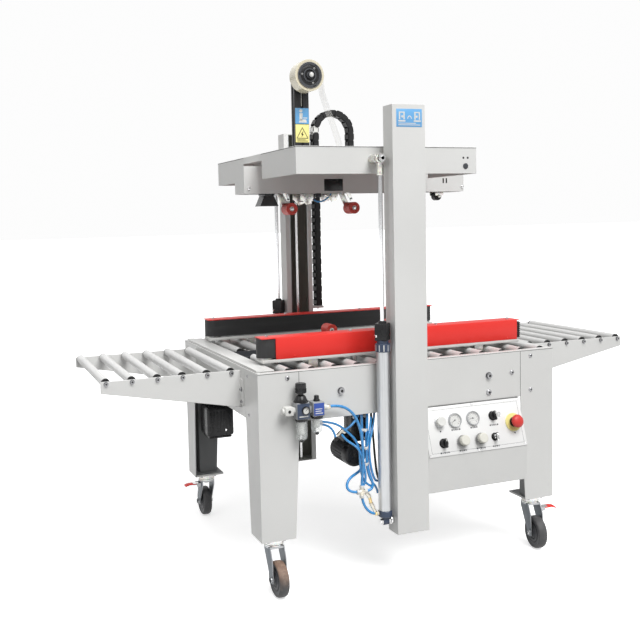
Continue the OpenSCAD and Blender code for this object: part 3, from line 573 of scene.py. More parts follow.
def tube(name, route, radius, look, sides, steps=12):
    """A round hose along a route of points."""
    curve = bpy.data.curves.new(name, "CURVE")
    curve.dimensions = "3D"
    curve.bevel_depth = radius * MM
    curve.bevel_resolution = sides
    curve.resolution_u = steps
    curve.use_fill_caps = True
    line = curve.splines.new("NURBS")
    line.points.add(len(route) - 1)
    for point, spot in zip(line.points, route):
        point.co = (*(Vector(spot) * MM), 1)
    line.order_u = 4
    line.use_endpoint_u = True
    curve.materials.append(finish(look))
    hose = bpy.data.objects.new(name, curve)
    bpy.context.scene.collection.objects.link(hose)
    return hose


def soften(obj, radius, segments=2):
    """Rounds the sharp edges of a finished piece."""
    rounding = obj.modifiers.new("Edges", "BEVEL")
    rounding.width = radius * MM
    rounding.segments = segments
    rounding.limit_method = "ANGLE"
    rounding.angle_limit = math.radians(40)
    return obj


def node_shape(*nodes):
    """A shape that starts as a clean copy of CAD nodes."""
    shape = Shape()
    bm = shape.bm
    for node in nodes:
        bm.from_mesh(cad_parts[node].data)
    bmesh.ops.remove_doubles(bm, verts=bm.verts, dist=1e-6)
    bmesh.ops.dissolve_limit(bm, angle_limit=math.radians(0.5), verts=bm.verts, edges=bm.edges)
    bmesh.ops.transform(bm, matrix=Matrix.Scale(1 / MM, 4), verts=bm.verts)
    for f in bm.faces:
        f.material_index = 0
    return shape


def recolour(shape, no, test):
    """Gives finish no to each face whose centre passes the test."""
    for f in shape.bm.faces:
        if test(f.calc_center_median(), f.normal):
            f.material_index = no


# ---------------------------------------------------------------- the machine

class SealerStage(bpy.types.Operator):
    """Adds the white floor, the studio lights and the camera"""
    bl_idname = "sealer.stage"
    bl_label = "Stage"

    EYE = (-1.24061, -2.58365, 1.04488)
    YAW, PITCH, ROLL = 21.400, 4.643, -1.342
    SHIFT = (0.0444, -0.0473)

    def execute(self, context):
        self.floor()
        self.camera(context)
        self.lights(context)
        return {"FINISHED"}

    def floor(self):
        shape = Shape()
        bmesh.ops.create_grid(shape.bm, x_segments=2, y_segments=2, size=60000)
        bmesh.ops.transform(shape.bm, matrix=Matrix.Scale(MM, 4), verts=shape.bm.verts)
        mesh = bpy.data.meshes.new("floor")
        shape.bm.to_mesh(mesh)
        mesh.materials.append(finish("studio_floor"))
        obj = bpy.data.objects.new("floor", mesh)
        bpy.context.scene.collection.objects.link(obj)
        obj.visible_diffuse = False

    def camera(self, context):
        data = bpy.data.cameras.new("camera")
        data.sensor_width = 36
        data.lens = sizes().lens
        data.shift_x, data.shift_y = self.SHIFT
        data.clip_end = 200
        yaw, pitch, roll = (math.radians(a) for a in (self.YAW, self.PITCH, self.ROLL))
        ahead = Vector((math.sin(yaw) * math.cos(pitch), math.cos(yaw) * math.cos(pitch), -math.sin(pitch)))
        side = Vector((math.cos(yaw), -math.sin(yaw), 0))
        up = side.cross(ahead)
        right = math.cos(roll) * side + math.sin(roll) * up
        top = -math.sin(roll) * side + math.cos(roll) * up
        turn = Matrix((right, top, -ahead)).transposed().to_4x4()
        camera = bpy.data.objects.new("camera", data)
        camera.matrix_world = Matrix.Translation(self.EYE) @ turn
        context.scene.collection.objects.link(camera)
        context.scene.camera = camera

    def lights(self, context):
        """A white studio: a soft key and a panel in front, weaker lamps on the other sides."""
        context.scene.view_settings.view_transform = "Standard"
        world = bpy.data.worlds.new("studio")
        context.scene.world = world
        world.use_nodes = True
        tree = world.node_tree
        background = tree.nodes["Background"]
        background.inputs[0].default_value = (1.0, 1.0, 1.0, 1.0)
        rays = tree.nodes.new("ShaderNodeLightPath")
        level = None
        for ray, share in (("Is Camera Ray", 0.72), ("Is Glossy Ray", 0.36)):
            part = tree.nodes.new("ShaderNodeMath")
            part.operation = "MULTIPLY_ADD"
            tree.links.new(rays.outputs[ray], part.inputs[0])
            part.inputs[1].default_value = share
            if level:
                tree.links.new(level, part.inputs[2])
            else:
                part.inputs[2].default_value = 0.26
            level = part.outputs[0]
        tree.links.new(level, background.inputs[1])
        for name, way, power, width in (("front key", (-0.10, 0.60, -0.78), 2.1, 36),
                                        ("left fill", (0.75, 0.25, -0.60), 0.25, 60),
                                        ("right fill", (-0.80, 0.20, -0.50), 0.5, 60),
                                        ("back fill", (0.1, -0.8, -0.5), 0.6, 60)):
            self.lamp(name, "SUN", ORIGIN, Vector(way), power).angle = math.radians(width)
        for name, spot, aim, width, watts in (("left panel", (-2.3, -0.9, 2.3), (-0.2, 0, 1.1), 1.3, 9),
                                              ("front panel", (0.2, -2.2, 3.2), (0, -0.2, 1.2), 1.6, 34)):
            self.lamp(name, "AREA", spot, Vector(aim) - Vector(spot), watts).size = width

    def lamp(self, name, kind, spot, way, power):
        data = bpy.data.lights.new(name, kind)
        data.energy = power
        lamp = bpy.data.objects.new(name, data)
        lamp.matrix_world = Matrix.Translation(spot) @ way.to_track_quat("-Z", "Y").to_matrix().to_4x4()
        bpy.context.scene.collection.objects.link(lamp)
        return data


class SealerHoses(bpy.types.Operator):
    """Adds the air hoses with their ties and the fitting that joins them"""
    bl_idname = "sealer.hoses"
    bl_label = "Air hoses"

    TEE = (-188, -406, 272)
    ROUTES = (
        ((-283, -410, 527), (-268, -410, 527), (-248, -410, 524), (-228, -410, 514), (-210, -410, 496),
         (-198, -410, 472), (-190, -410, 446), (-186, -410, 418), (-184, -410, 388), (-184, -410, 356),
         (-186, -409, 322), (-188, -407, 300), (-188, -406, 286)),
        ((-188, -406, 258), (-187, -407, 246), (-182, -408, 230), (-173, -410.5, 217), (-162, -412.5, 208),
         (-154, -413, 205), (-146, -413, 205)),
        ((-201, -406, 272), (-212, -405, 273), (-224, -402, 276), (-231, -396, 286), (-226, -390, 300),
         (-212, -384, 310), (-194, -378, 316), (-176, -374, 322), (-168, -372, 340), (-166, -371, 370),
         (-166, -370, 400), (-167, -370, 430), (-168, -370, 458), (-168, -370, 487)),
        ((-150, -370, 487), (-152, -374, 460), (-158, -382, 436), (-164, -390, 414), (-166, -396, 390),
         (-166, -398, 360), (-163, -398, 330), (-156, -399, 306), (-150, -401, 290), (-154, -404, 276),
         (-164, -406, 272), (-175, -406, 272)))
    MORE = (
        ((-140, -376, 487), (-146, -384, 455), (-160, -398, 430), (-170, -404, 400), (-173, -406, 360),
         (-168, -404, 325),
         (-158, -402, 300), (-146, -398, 285), (-134, -392, 272), (-128, -385, 255)),
        ((-128, -372, 487), (-136, -382, 455), (-152, -396, 428), (-162, -402, 396), (-160, -404, 350),
         (-152, -402, 318),
         (-142, -396, 296), (-130, -388, 288), (-112, -380, 290)),
        ((-312, -376, 481), (-286, -378, 477), (-262, -380, 472), (-240, -382, 461), (-222, -384, 444),
         (-205, -390, 428),
         (-193, -396, 408), (-190, -402, 380), (-191, -404, 345), (-186, -404, 310), (-172, -402, 290),
         (-152, -396, 280)),
        ((-312, -370, 473), (-284, -374, 469), (-264, -377, 458), (-256, -378, 440), (-253, -378, 424)),
        ((-228, -380, 446), (-212, -378, 452), (-196, -374, 462), (-184, -372, 474), (-178, -371, 487)),
        ((-236, -380, 436), (-226, -384, 420), (-208, -392, 408), (-196, -400, 398), (-188, -408, 380),
         (-180, -410, 340),
         (-176, -410, 310), (-180, -408, 292), (-188, -406, 284)))
    CABLE = ((-142, -378, 487), (-140, -384, 440), (-137, -386, 380), (-133, -386, 330), (-126, -382, 296),
             (-112, -376, 280))
    TIES = ((-178, 447), (-177, 396), (-176, 350))

    def execute(self, context):
        hoses = []
        for number, route in enumerate((*self.ROUTES, *self.MORE, self.CABLE), 1):
            radius = sizes().hose * (0.5 if number <= len(self.ROUTES) else 0.42)
            look = "gloss_black" if route is self.CABLE else "air_hose"
            hoses.append(tube(f"air_hose_{number}", route, radius, look, 5, 6))
        for number, hose in enumerate(hoses):
            if number < len(self.ROUTES):
                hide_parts("air_hoses")
            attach(hose, BODY)
        self.fittings()
        return {"FINISHED"}

    def fittings(self):
        shape = Shape()
        x, y, z = self.TEE
        shape.rod((x, y, z - 15), (x, y, z + 15), 6.5, 0, round_=1)
        shape.rod((x - 13, y, z), (x + 13, y, z), 6.5, 0, round_=1)
        for end in ((0, 0, 15), (0, 0, -15), (13, 0, 0), (-13, 0, 0)):
            end = Vector(end)
            out = end.normalized()
            start = Vector(self.TEE) + end
            shape.rod(start - out * 5, start + out * 3, 7.2, 1, sides=20, round_=0.8)
        for x, z in self.TIES:
            shape.lathe([(10.5, -2.4), (11.7, -2.4), (11.7, 2.4), (10.5, 2.4)], (x, -401, z), (0, 0.15, 1), 1, 24, True)
            shape.block((x - 3, -416, z - 3.2), (x + 3, -411, z + 3.2), 1, 0.8)
        links = ((-175, -407, 268), (-166, -409, 254), (-163, -411, 238), (-156, -412, 222), (-151, -413, 210))
        for n, (a, b) in enumerate(zip(links, links[1:])):
            shape.rod(a, b, 4.8 if n % 2 else 5.8, 2 if n == 1 else 0, sides=20, round_=0.8)
        shape.rod((-152, -413, 205), (-140, -413, 205), 6.4, 2, sides=6, round_=0.6)
        y = (-236, -380, 446)
        for end, r in (((-249, -378, 434), 4.6), ((-228, -380, 454), 4.2), ((-225, -381, 440), 4.2)):
            shape.rod(y, end, r, 0, sides=20, round_=0.8)
        shape.rod((-253, -378, 430), (-253, -378, 418), 5, 3, sides=20, round_=0.8)
        add_piece("hose_fittings", shape, BODY, ("nickel", "white_plastic", "brass", "gloss_black"))


class SealerFrame(bpy.types.Operator):
    """Adds the legs, panels, bed rails, extension plates and their bolts"""
    bl_idname = "sealer.frame"
    bl_label = "Frame"

    FRONT_BOLTS = ((-398, 612, 7), (-236, 517, 4.5), (250, 511, 9.5), (333, 565, 7.5), (401, 611, 6.5), (401, 506, 6.5))
    BIG_BOLTS = ((-238, 562), (250, 562))
    # Runs of painted shade under the rollers on each side, which leave the slide brackets and the gearbox shaft free
    SHADE_RUNS = {
        -1: ((-426, -310), (-250, -165), (-115, 250), (310, 470)),
        1: ((-390, -310), (-250, 250), (310, 470)),
    }

    def execute(self, context):
        edge = sizes().edge
        legs = node_shape("legs")
        recolour(legs, 1, lambda c, n: c.z < FOOT + 0.5 and not (abs(c.z - FOOT) < 0.6 and n.z > -0.5 and n.z < 0.5))
        # Painted shade: the inner posts and the forward-facing faces of the rear legs take a darker grey finish.
        recolour(legs, 2, lambda c, n: (396 < abs(c.x) < 460 and abs(c.y) < 383.5 and FOOT + 5 < c.z < 432)
                 or (c.y > 0 and n.y < -0.4 and FOOT + 5 < c.z < 487))
        soften(add_piece("legs_folded", legs, BODY, ("coated_paint", "zinc_plate", "inner_post"), ["legs"]),
               edge)
        panels = node_shape("body_panels")
        soften(add_piece("panels_folded", panels, BODY, ("coated_paint",), ["body_panels"]), edge)
        rails = node_shape("bed_frame")
        # Painted shade: the inner rails near the middle take a near-black finish so the gaps between the rollers read
        # as shade.
        recolour(rails, 2, lambda c, n: abs(c.y) < 62 and c.x > -405)
        recolour(rails, 1, lambda c, n: abs(c.z - SLIDE_Z) < 10.6 and abs(abs(c.x) - SLIDE_X) < 10.6)
        soften(add_piece("bed_rails", rails, BODY, ("pale_base", "bright_steel", "slate"), ["bed_frame"]),
               0.6)
        plates = node_shape("extension_frames")
        recolour(plates, 1, lambda c, n: abs(c.z - EXT_AXIS) < 4.5 and abs(c.y) < EXT_Y - 4)
        soften(add_piece("extension_plates", plates, BODY, ("coated_paint", "bright_steel"),
                         ["extension_frames"]), edge)
        self.fasteners()
        self.seams()
        self.ledge_and_shade()
        return {"FINISHED"}

    def ledge_and_shade(self):
        """The stepped ledge at the infeed end, and black sheets of painted shade under the rollers."""
        s = Shape()
        s.block((-HALF_LEN + 4, -366, 631), (-428, 366, 634.6), 0, 0.8)
        s.block((-HALF_LEN + 4, -366, 634.4), (-456, 366, 636.4), 0, 0.8)
        for side in (-1, 1):
            near, far = sorted((side * 66, side * 336))
            for x0, x1 in self.SHADE_RUNS[side]:
                # Black sheets of painted shade under the rollers.
                s.block((x0, near, 596), (x1, far, 598), 1)
            near, far = sorted((side * 340, side * 362))
            s.block((-426, near, 606), (470, far, 608), 0)
        add_piece("bed_ledge", s, BODY, ("coated_paint", "shadow_gap"))

    def fasteners(self):
        shape = Shape()
        # Bolts and screws here carry painted shade in shadow_gap under their heads and in their sockets.
        shape.dark = 1
        big = sizes().bolt * 0.7
        for side in (-1, 1):
            out = (0, side, 0)
            for x, z, r in self.FRONT_BOLTS:
                shape.screw((x, side * HALF_WID, z), out, r)
            for x, z in self.BIG_BOLTS:
                shape.bolt((x, side * HALF_WID, z), out, big)
            for end in (-1, 1):
                for n in range(6):
                    x = end * (EXT_FIRST + n * EXT_PITCH)
                    shape.bolt((x, side * EXT_Y, EXT_TOP - 7), out, 5.2)
                    shape.rod((x, side * (EXT_Y - 5), EXT_TOP - 7), (x, side * (EXT_Y - 9), EXT_TOP - 7), 6, sides=6)
                shape.bolt((end * (HALF_LEN + 4), side * 257, 567), (end, 0, 0), 5)
                shape.bolt((end * (HALF_LEN + 4), side * 257, 532), (end, 0, 0), 4)
                for y, z in ((300, 611), (305, 502)):
                    shape.screw((end * HALF_LEN, side * y, z), (end, 0, 0), 4.5)
                for x in (-24, 24):
                    for y in (-22, 22):
                        spot = (end * 433 + x, side * 341 + y, FOOT - 4)
                        shape.bolt(spot, DOWN, 5)
        add_piece("frame_fasteners", shape, BODY, ("bolt_steel", "shadow_gap"))

    def seams(self):
        """Dark seams where panel and leg meet, and a painted shadow line along the rim."""
        shape = Shape()
        for side in (-1, 1):
            for end in (-1, 1):
                shape.block((end * 364 - 0.5, side * HALF_WID - 0.3, PANEL),
                            (end * 364 + 0.5, side * HALF_WID + 0.3, 627))
            shape.block((-HALF_LEN, side * HALF_WID - 0.3, 626.6), (HALF_LEN, side * HALF_WID + 0.25, 627.4))
        add_piece("panel_seams", shape, BODY, ("shadow_gap",))


class SealerRollers(bpy.types.Operator):
    """Adds the bed rollers and the twelve extension rollers with black end caps"""
    bl_idname = "sealer.rollers"
    bl_label = "Rollers"

    RADIUS, SHAFT = 12.5, 4

    def roller(self, shape, x, z, low, high):
        """One tube between two heights along Y, with its caps."""
        cap = sizes().roller_cap
        r = self.RADIUS
        tube = [(r - 2.5, 0), (r - 0.8, 0), (r, 0.8), (r, high - low - 2 * cap - 0.8), (r - 0.8, high - low - 2 * cap),
                (r - 2.5, high - low - 2 * cap)]
        shape.lathe(tube, (x, low + cap, z), BACK, 0, 36, True)
        for start, way in ((low, 1), (high, -1)):
            lid = [(self.SHAFT + 0.1, 0.6), (7.5, 0.6), (8.2, 0), (r - 1.2, 0), (r - 0.2, 0.8), (r - 0.2, cap + 0.4),
                   (self.SHAFT + 0.1, cap + 0.4)]
            shape.lathe(lid, (x, start, z), (0, way, 0), 1, 36, True)

    def execute(self, context):
        bed = Shape()
        for n in range(BED_COUNT):
            x = BED_FIRST + n * BED_PITCH
            for low, high in ((-363, -63), (63, 363)):
                self.roller(bed, x, BED_AXIS, low, high)
                bed.rod((x, low - 3, BED_AXIS), (x, high + 3, BED_AXIS), self.SHAFT, 2, sides=12)
        add_piece("bed_roller_set", bed, BODY, ("roller_tube", "black_plastic", "bright_steel"),
                  ["bed_rollers"])
        for side, way in (("infeed", -1), ("outfeed", 1)):
            for n in range(1, 7):
                step = 6 - n if way < 0 else n - 1
                shape = Shape()
                self.roller(shape, way * (EXT_FIRST + step * EXT_PITCH), EXT_AXIS, -235, 235)
                name = f"{side}_roller_{n}"
                add_piece(f"{name}_tube", shape, name, ("roller_tube", "black_plastic"), [name])
        return {"FINISHED"}


class SealerColumns(bpy.types.Operator):
    """Adds the two lift columns with their guide rods, slots, labels and bolts"""
    bl_idname = "sealer.columns"
    bl_label = "Columns"

    def execute(self, context):
        shape = node_shape("columns")
        recolour(shape, 1, lambda c, n: (abs(c.x - COL_X) < 8.5 and abs(abs(c.y) - GUIDE_Y) < 8.5 and 143 < c.z < 1351))
        soften(add_piece("columns_folded", shape, BODY, ("coated_paint", "bright_steel"), ["columns"]),
               sizes().edge)
        self.lining()
        self.labels()
        return {"FINISHED"}

    def lining(self):
        """Painted shade inside each column, as sheets of deep olive grey, and the pale edge strips of the slot."""
        shape = Shape()
        for side in (-1, 1):
            deep = side * (HALF_WID + COL_DEPTH - 3.4)
            shape.block((COL_X - 47.5, min(deep, deep - side * 1.2), 147), (COL_X + 47.5, max(deep, deep - side * 1.2),
                                                                          COL_TOP - 4), 0)
            for way in (-1, 1):
                x = COL_X + way * 46.6
                shape.block((min(x, x - way * 1.2), min(side * 393, side * 437), 147),
                            (max(x, x - way * 1.2), max(side * 393, side * 437), COL_TOP - 4), 0)
                lip = COL_X + way * 33
                near, far = sorted((side * (HALF_WID - 0.6), side * (HALF_WID + 3.2)))
                shape.block((min(lip, lip + way * 2), near, 640), (max(lip, lip + way * 2), far, COL_TOP - 6), 1, 0.3)
        add_piece("column_lining", shape, BODY, ("liner", "tube_alloy"))

    def labels(self):
        shape = Shape()
        face = -(HALF_WID + COL_DEPTH)
        shape.block((COL_X - 39, face - 0.5, 1290), (COL_X + 41, face, 1339), 0, 0.2)
        for x, way in ((COL_X - 22, 1), (COL_X + 26, -1)):
            shape.block((x - 11, face - 0.8, 1304), (x + 11, face - 0.5, 1308), 1)
            shape.block((x - 9, face - 0.8, 1310), (x - 5, face - 0.5, 1328), 1)
            shape.block((x + 5, face - 0.8, 1310), (x + 9, face - 0.5, 1328), 1)
            shape.block((x - 9, face - 0.8, 1328), (x + 9, face - 0.5, 1331), 1)
            shape.lathe([(0, 0), (0, 0.3), (3.2, 0.3), (3.2, 0)], (x + way * 1.5, face - 0.5, 1318), FRONT, 1, 16)
        bow = [(COL_X + 2 + 7 * math.cos(a), 1312 + 9 * math.sin(a)) for a in (0, 0.5, 1.0, 1.57, 2.1, 2.6, 3.14)]
        bow += [(COL_X + 2 + 4.6 * math.cos(a), 1312 + 6.4 * math.sin(a)) for a in (3.14, 2.6, 2.1, 1.57, 1.0, 0.5, 0)]
        shape.prism(bow, "xz", face - 0.8, face - 0.5, 1)
        shape.text_bars((COL_X - 33, face - 0.5, 1293), (COL_X + 35, face - 0.5, 1302), 2, 1, 0.3)
        add_piece("column_label", shape, BODY, ("blue_label", "white_plastic"))


class SealerCylinders(bpy.types.Operator):
    """Adds the two pneumatic cylinders, their rods and their pins"""
    bl_idname = "sealer.cylinders"
    bl_label = "Lift cylinders"

    PIN_Z, EYE_Z = 180, 1206

    def execute(self, context):
        body, rods = Shape(), Shape()
        for side in (-1, 1):
            y = side * CYL_Y
            self.barrel(body, y)
            self.rod(rods, y, side)
        add_piece("cylinder_barrels", body, BODY,
                  ("tube_alloy", "blue_end", "gloss_black", "white_plastic", "bright_steel", "blue_label"),
                  ["lift_cylinders"])
        add_piece("cylinder_rods", rods, "head", ("piston_chrome", "bright_steel", "zinc_plate"),
                  ["lift_rods"])
        return {"FINISHED"}

    def barrel(self, s, y):
        x, axis = CYL_X, UP
        wall = [(16.05, 212), (18.6, 212), (18.6, 668), (16.05, 668)]
        s.lathe(wall, (x, y, 0), axis, 0, 48, True)
        foot = [(0, 192), (17, 192), (20, 195), (20, 209), (18.6, 211), (18.6, 213), (0, 213)]
        s.lathe(foot, (x, y, 0), axis, 1, 40)
        collar = [(16.05, 667), (20.4, 667), (21, 669), (21, 688), (20, 690), (16.05, 690)]
        s.lathe(collar, (x, y, 0), axis, 1, 40, True)
        for n in range(10):
            angle = TURN * n / 10
            keep, s.place = s.place, Matrix.Translation((x, y, 0)) @ Matrix.Rotation(angle, 4, "Z")
            s.block((20.2, -1.5, 669.5), (21.6, 1.5, 687.5), 3 if n % 3 == 1 else 0, 0.3)
            s.place = keep
        s.lathe([(7, 689), (16.6, 689), (16.6, 700), (7, 700)], (x, y, 0), axis, 1, 32, True)
        square = Matrix.Translation((x, y, 0)) @ Matrix.Rotation(TURN / 8, 4, "Z")
        keep, s.place = s.place, square
        s.lathe([(6.3, 699), (22.6, 699), (24.7, 701), (24.7, 745), (22.6, 748), (6.3, 748)], ORIGIN, axis, 2, 4, True)
        s.place = keep
        s.lathe([(6.1, 747), (11.5, 747), (11.5, 752), (9.5, 754), (6.1, 754)], (x, y, 0), axis, 2, 32, True)
        s.rod((x - 30, y, 205), (x - 18, y, 205), 5.5, 4, sides=6, round_=0.5)
        s.rod((x - 27, y, 205), (x - 24, y, 205), 7, 3)
        s.rod((x - 24, y, 712), (x - 17, y, 712), 5.5, 4, sides=6, round_=0.5)
        s.block((x - 9.5, y - 10, 176), (x + 9.5, y + 10, 194), 1, 1.2)
        s.rod((x - 8, y, self.PIN_Z), (x + 8, y, self.PIN_Z), 12, 1, sides=36, round_=1)
        s.rod((x - 13, y, self.PIN_Z), (COL_X - COL_HALF, y, self.PIN_Z), 5.9, 4, round_=0.6)
        s.bolt((x - 10, y, self.PIN_Z), (-1, 0, 0), 7.5, 4)
        s.rod((x + 10, y, self.PIN_Z), (x + 14, y, self.PIN_Z), 8.5, 4, sides=6, round_=0.6)
        s.rod((COL_X - COL_HALF - 10, y, self.PIN_Z), (COL_X - COL_HALF, y, self.PIN_Z), 12, 4, round_=1)

    def rod(self, s, y, side):
        x = CYL_X
        s.rod((x, y, 602), (x, y, self.EYE_Z - 30), 6, 0, sides=28)
        s.rod((x, y, 600), (x, y, 618), 15.8, 1, sides=40, round_=0.6)
        s.rod((x, y, self.EYE_Z - 46), (x, y, self.EYE_Z - 38), 10.5, 2, sides=6, round_=0.8)
        s.rod((x, y, self.EYE_Z - 38), (x, y, self.EYE_Z - 12), 8, 2, round_=1)
        ring = [(6.2, -8), (12.5, -8), (14, -6), (14, 6), (12.5, 8), (6.2, 8)]
        s.lathe(ring, (x, y, self.EYE_Z), BACK, 2, 32, True)
        s.rod((x, side * (HEAD_Y - 1), self.EYE_Z), (x, side * 431, self.EYE_Z), 6, 1, round_=0.6)
        s.rod((x, side * (HEAD_Y - 1), self.EYE_Z), (x, side * 401, self.EYE_Z), 12, 2, tip=11, round_=1)
        s.rod((x, side * 425, self.EYE_Z), (x, side * 427, self.EYE_Z), 10, 1, sides=20)


class SealerHead(bpy.types.Operator):
    """Adds the lift bridge, the cartridge channel, its brush and its small fittings"""
    bl_idname = "sealer.head"
    bl_label = "Head"

    def execute(self, context):
        bridge = node_shape("head_bridge")
        recolour(bridge, 1, lambda c, n: abs(c.y) > HEAD_Y + 1)
        soften(add_piece("bridge_folded", bridge, "head", ("coated_paint", "zinc_plate"), ["head_bridge"]),
               1.4)
        channel = node_shape("head_channel")
        recolour(channel, 1, lambda c, n: c.z < 1123.9
                 or (1123 < c.z < 1134.6 and abs(c.x + 305) < 14 and abs(c.y) < 41))
        recolour(channel, 2, lambda c, n: abs(c.z - 1150) < 5.2 and abs(c.y) < 44 and c.x < 0
                 and (abs(c.x + 265) < 5.2 or abs(c.x + 48) < 5.2))
        soften(add_piece("channel_folded", channel, "head", ("coated_paint", "gloss_black", "bright_steel"),
                         ["head_channel"]), sizes().edge)
        self.trim()
        self.plumbing()
        self.brush()
        return {"FINISHED"}

    def trim(self):
        s = Shape()
        top = HEAD_Z1
        x0, x1, y = HEAD_X0, HEAD_X1, HEAD_Y
        s.block((x0 - 0.6, 85, top - 2.6), (x0 + 1, y, top - 1.4), 0)
        s.block((x0 - 0.6, -y, top - 2.6), (x0 + 1, -85, top - 1.4), 0)
        s.block((x0, -y - 0.6, top - 2.6), (x1, -y + 1, top - 1.4), 0)
        s.block((x0, y - 1, top - 2.6), (x1, y + 0.6, top - 1.4), 0)
        s.block((x1 - 1, -y, top - 2.6), (x1 + 0.6, y, top - 1.4), 0)
        for side in (-1, 1):
            for x in (180.6, 195.3):
                s.lathe([(0, 0.4), (2.6, 0.4), (3.4, 0)], (x, side * y, 1212), (0, side, 0), 0, 16)
            s.lathe([(0, 3.2), (6.4, 3.0), (8.4, 1.4), (8.4, 0)], (187.6, side * y, 1188), (0, side, 0), 1, 28)
            near, far = sorted((side * 45, side * 45.6))
            s.block((-127, near, 1130), (-62, far, 1168), 3, 0.2)
            for x in (304, 316):
                s.block((x, near, 1152), (x + 5, far, 1168), 3, 0.2)
        s.bolt((380, -45, 1140), FRONT, 4.5, 2)
        s.bolt((-378, -45, 1140), FRONT, 4.5, 2)
        s.block((x0 + 20, -150, top), (x0 + 120, -146, top + 1.6), 2, 0.4)
        for x in (-250, 150):
            for y in (-240, 240):
                s.bolt((x, y, top), UP, 5, 2)
        add_piece("head_trim", s, "head", ("shadow_gap", "slate", "bright_steel", "gloss_black"))
        w = Shape()
        w.block((292, -20, 1112), (322, -17, 1126), 0, 0.6)
        w.block((292, 17, 1112), (322, 20, 1126), 0, 0.6)
        w.lathe([(3, -12), (12, -12), (14, -10), (14, 10), (12, 12), (3, 12)], (306, 0, 1110), BACK, 1, 32, True)
        w.rod((306, -22, 1110), (306, 22, 1110), 3, 0)
        w.bolt((306, -20, 1110), FRONT, 4, 0)
        add_piece("press_wheel", w, "head", ("zinc_plate", "black_plastic"))

    def plumbing(self):
        """Small brackets, a short cylinder and an air line between the two applying arms."""
        s = Shape()
        # Screw recesses here carry painted shade in the slate finish.
        s.dark = 1
        for y in (-34, 30):
            s.prism([(-204, 1124), (-160, 1124), (-160, 1108), (-170, 1092), (-184, 1088), (-192, 1098),
                     (-204, 1106)], "xz",
                    y, y + 3, 0, 0.5)
            s.prism([(-112, 1124), (-72, 1124), (-78, 1102), (-96, 1096), (-108, 1108)], "xz", y, y + 3, 0, 0.5)
        for x, z in ((-190, 1112), (-172, 1112), (-180, 1097), (-98, 1112), (-84, 1112)):
            s.screw((x, -34, z), FRONT, 3.4, 0)
        s.rod((-182, -37, 1097), (-182, 33, 1097), 4, 0)
        s.rod((-178, -14, 1100), (-150, -14, 1112), 8, 2, sides=28, round_=1)
        s.rod((-150, -14, 1112), (-134, -14, 1118), 3, 0)
        s.rod((-156, -22, 1112), (-156, -30, 1104), 4.4, 1, sides=20, round_=0.6)
        s.rod((-120, -30, 1118), (-104, -34, 1112), 5, 0, sides=20, round_=0.6)
        s.block((-146, -30, 1112), (-132, -16, 1124), 1, 1)
        add_piece("head_brackets", s, "head", ("zinc_plate", "slate", "bright_steel"))
        route = ((-156, -30, 1103), (-152, -34, 1097), (-138, -38, 1096), (-120, -38, 1102), (-108, -36, 1112),
                 (-98, -32, 1122))
        hose = tube("head_air_line", route, 2.6, "air_hose", 4)
        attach(hose, "head")

    def brush(self):
        s = Shape()
        s.block((-321, -30, 1118), (-289, 30, 1126), 1, 1)
        for row in range(-9, 10):
            y = row * 3.0
            lean = 0.5 * math.sin(row * 2.1)
            s.prism([(-317, 1120), (-334 + lean, 1086.5), (-300, 1086), (-276 + lean, 1086.5), (-293, 1120)], "xz",
                    y - 1.2, y + 1.2, 0)
        add_piece("brush_bristles", s, "head", ("bristle", "gloss_black"))


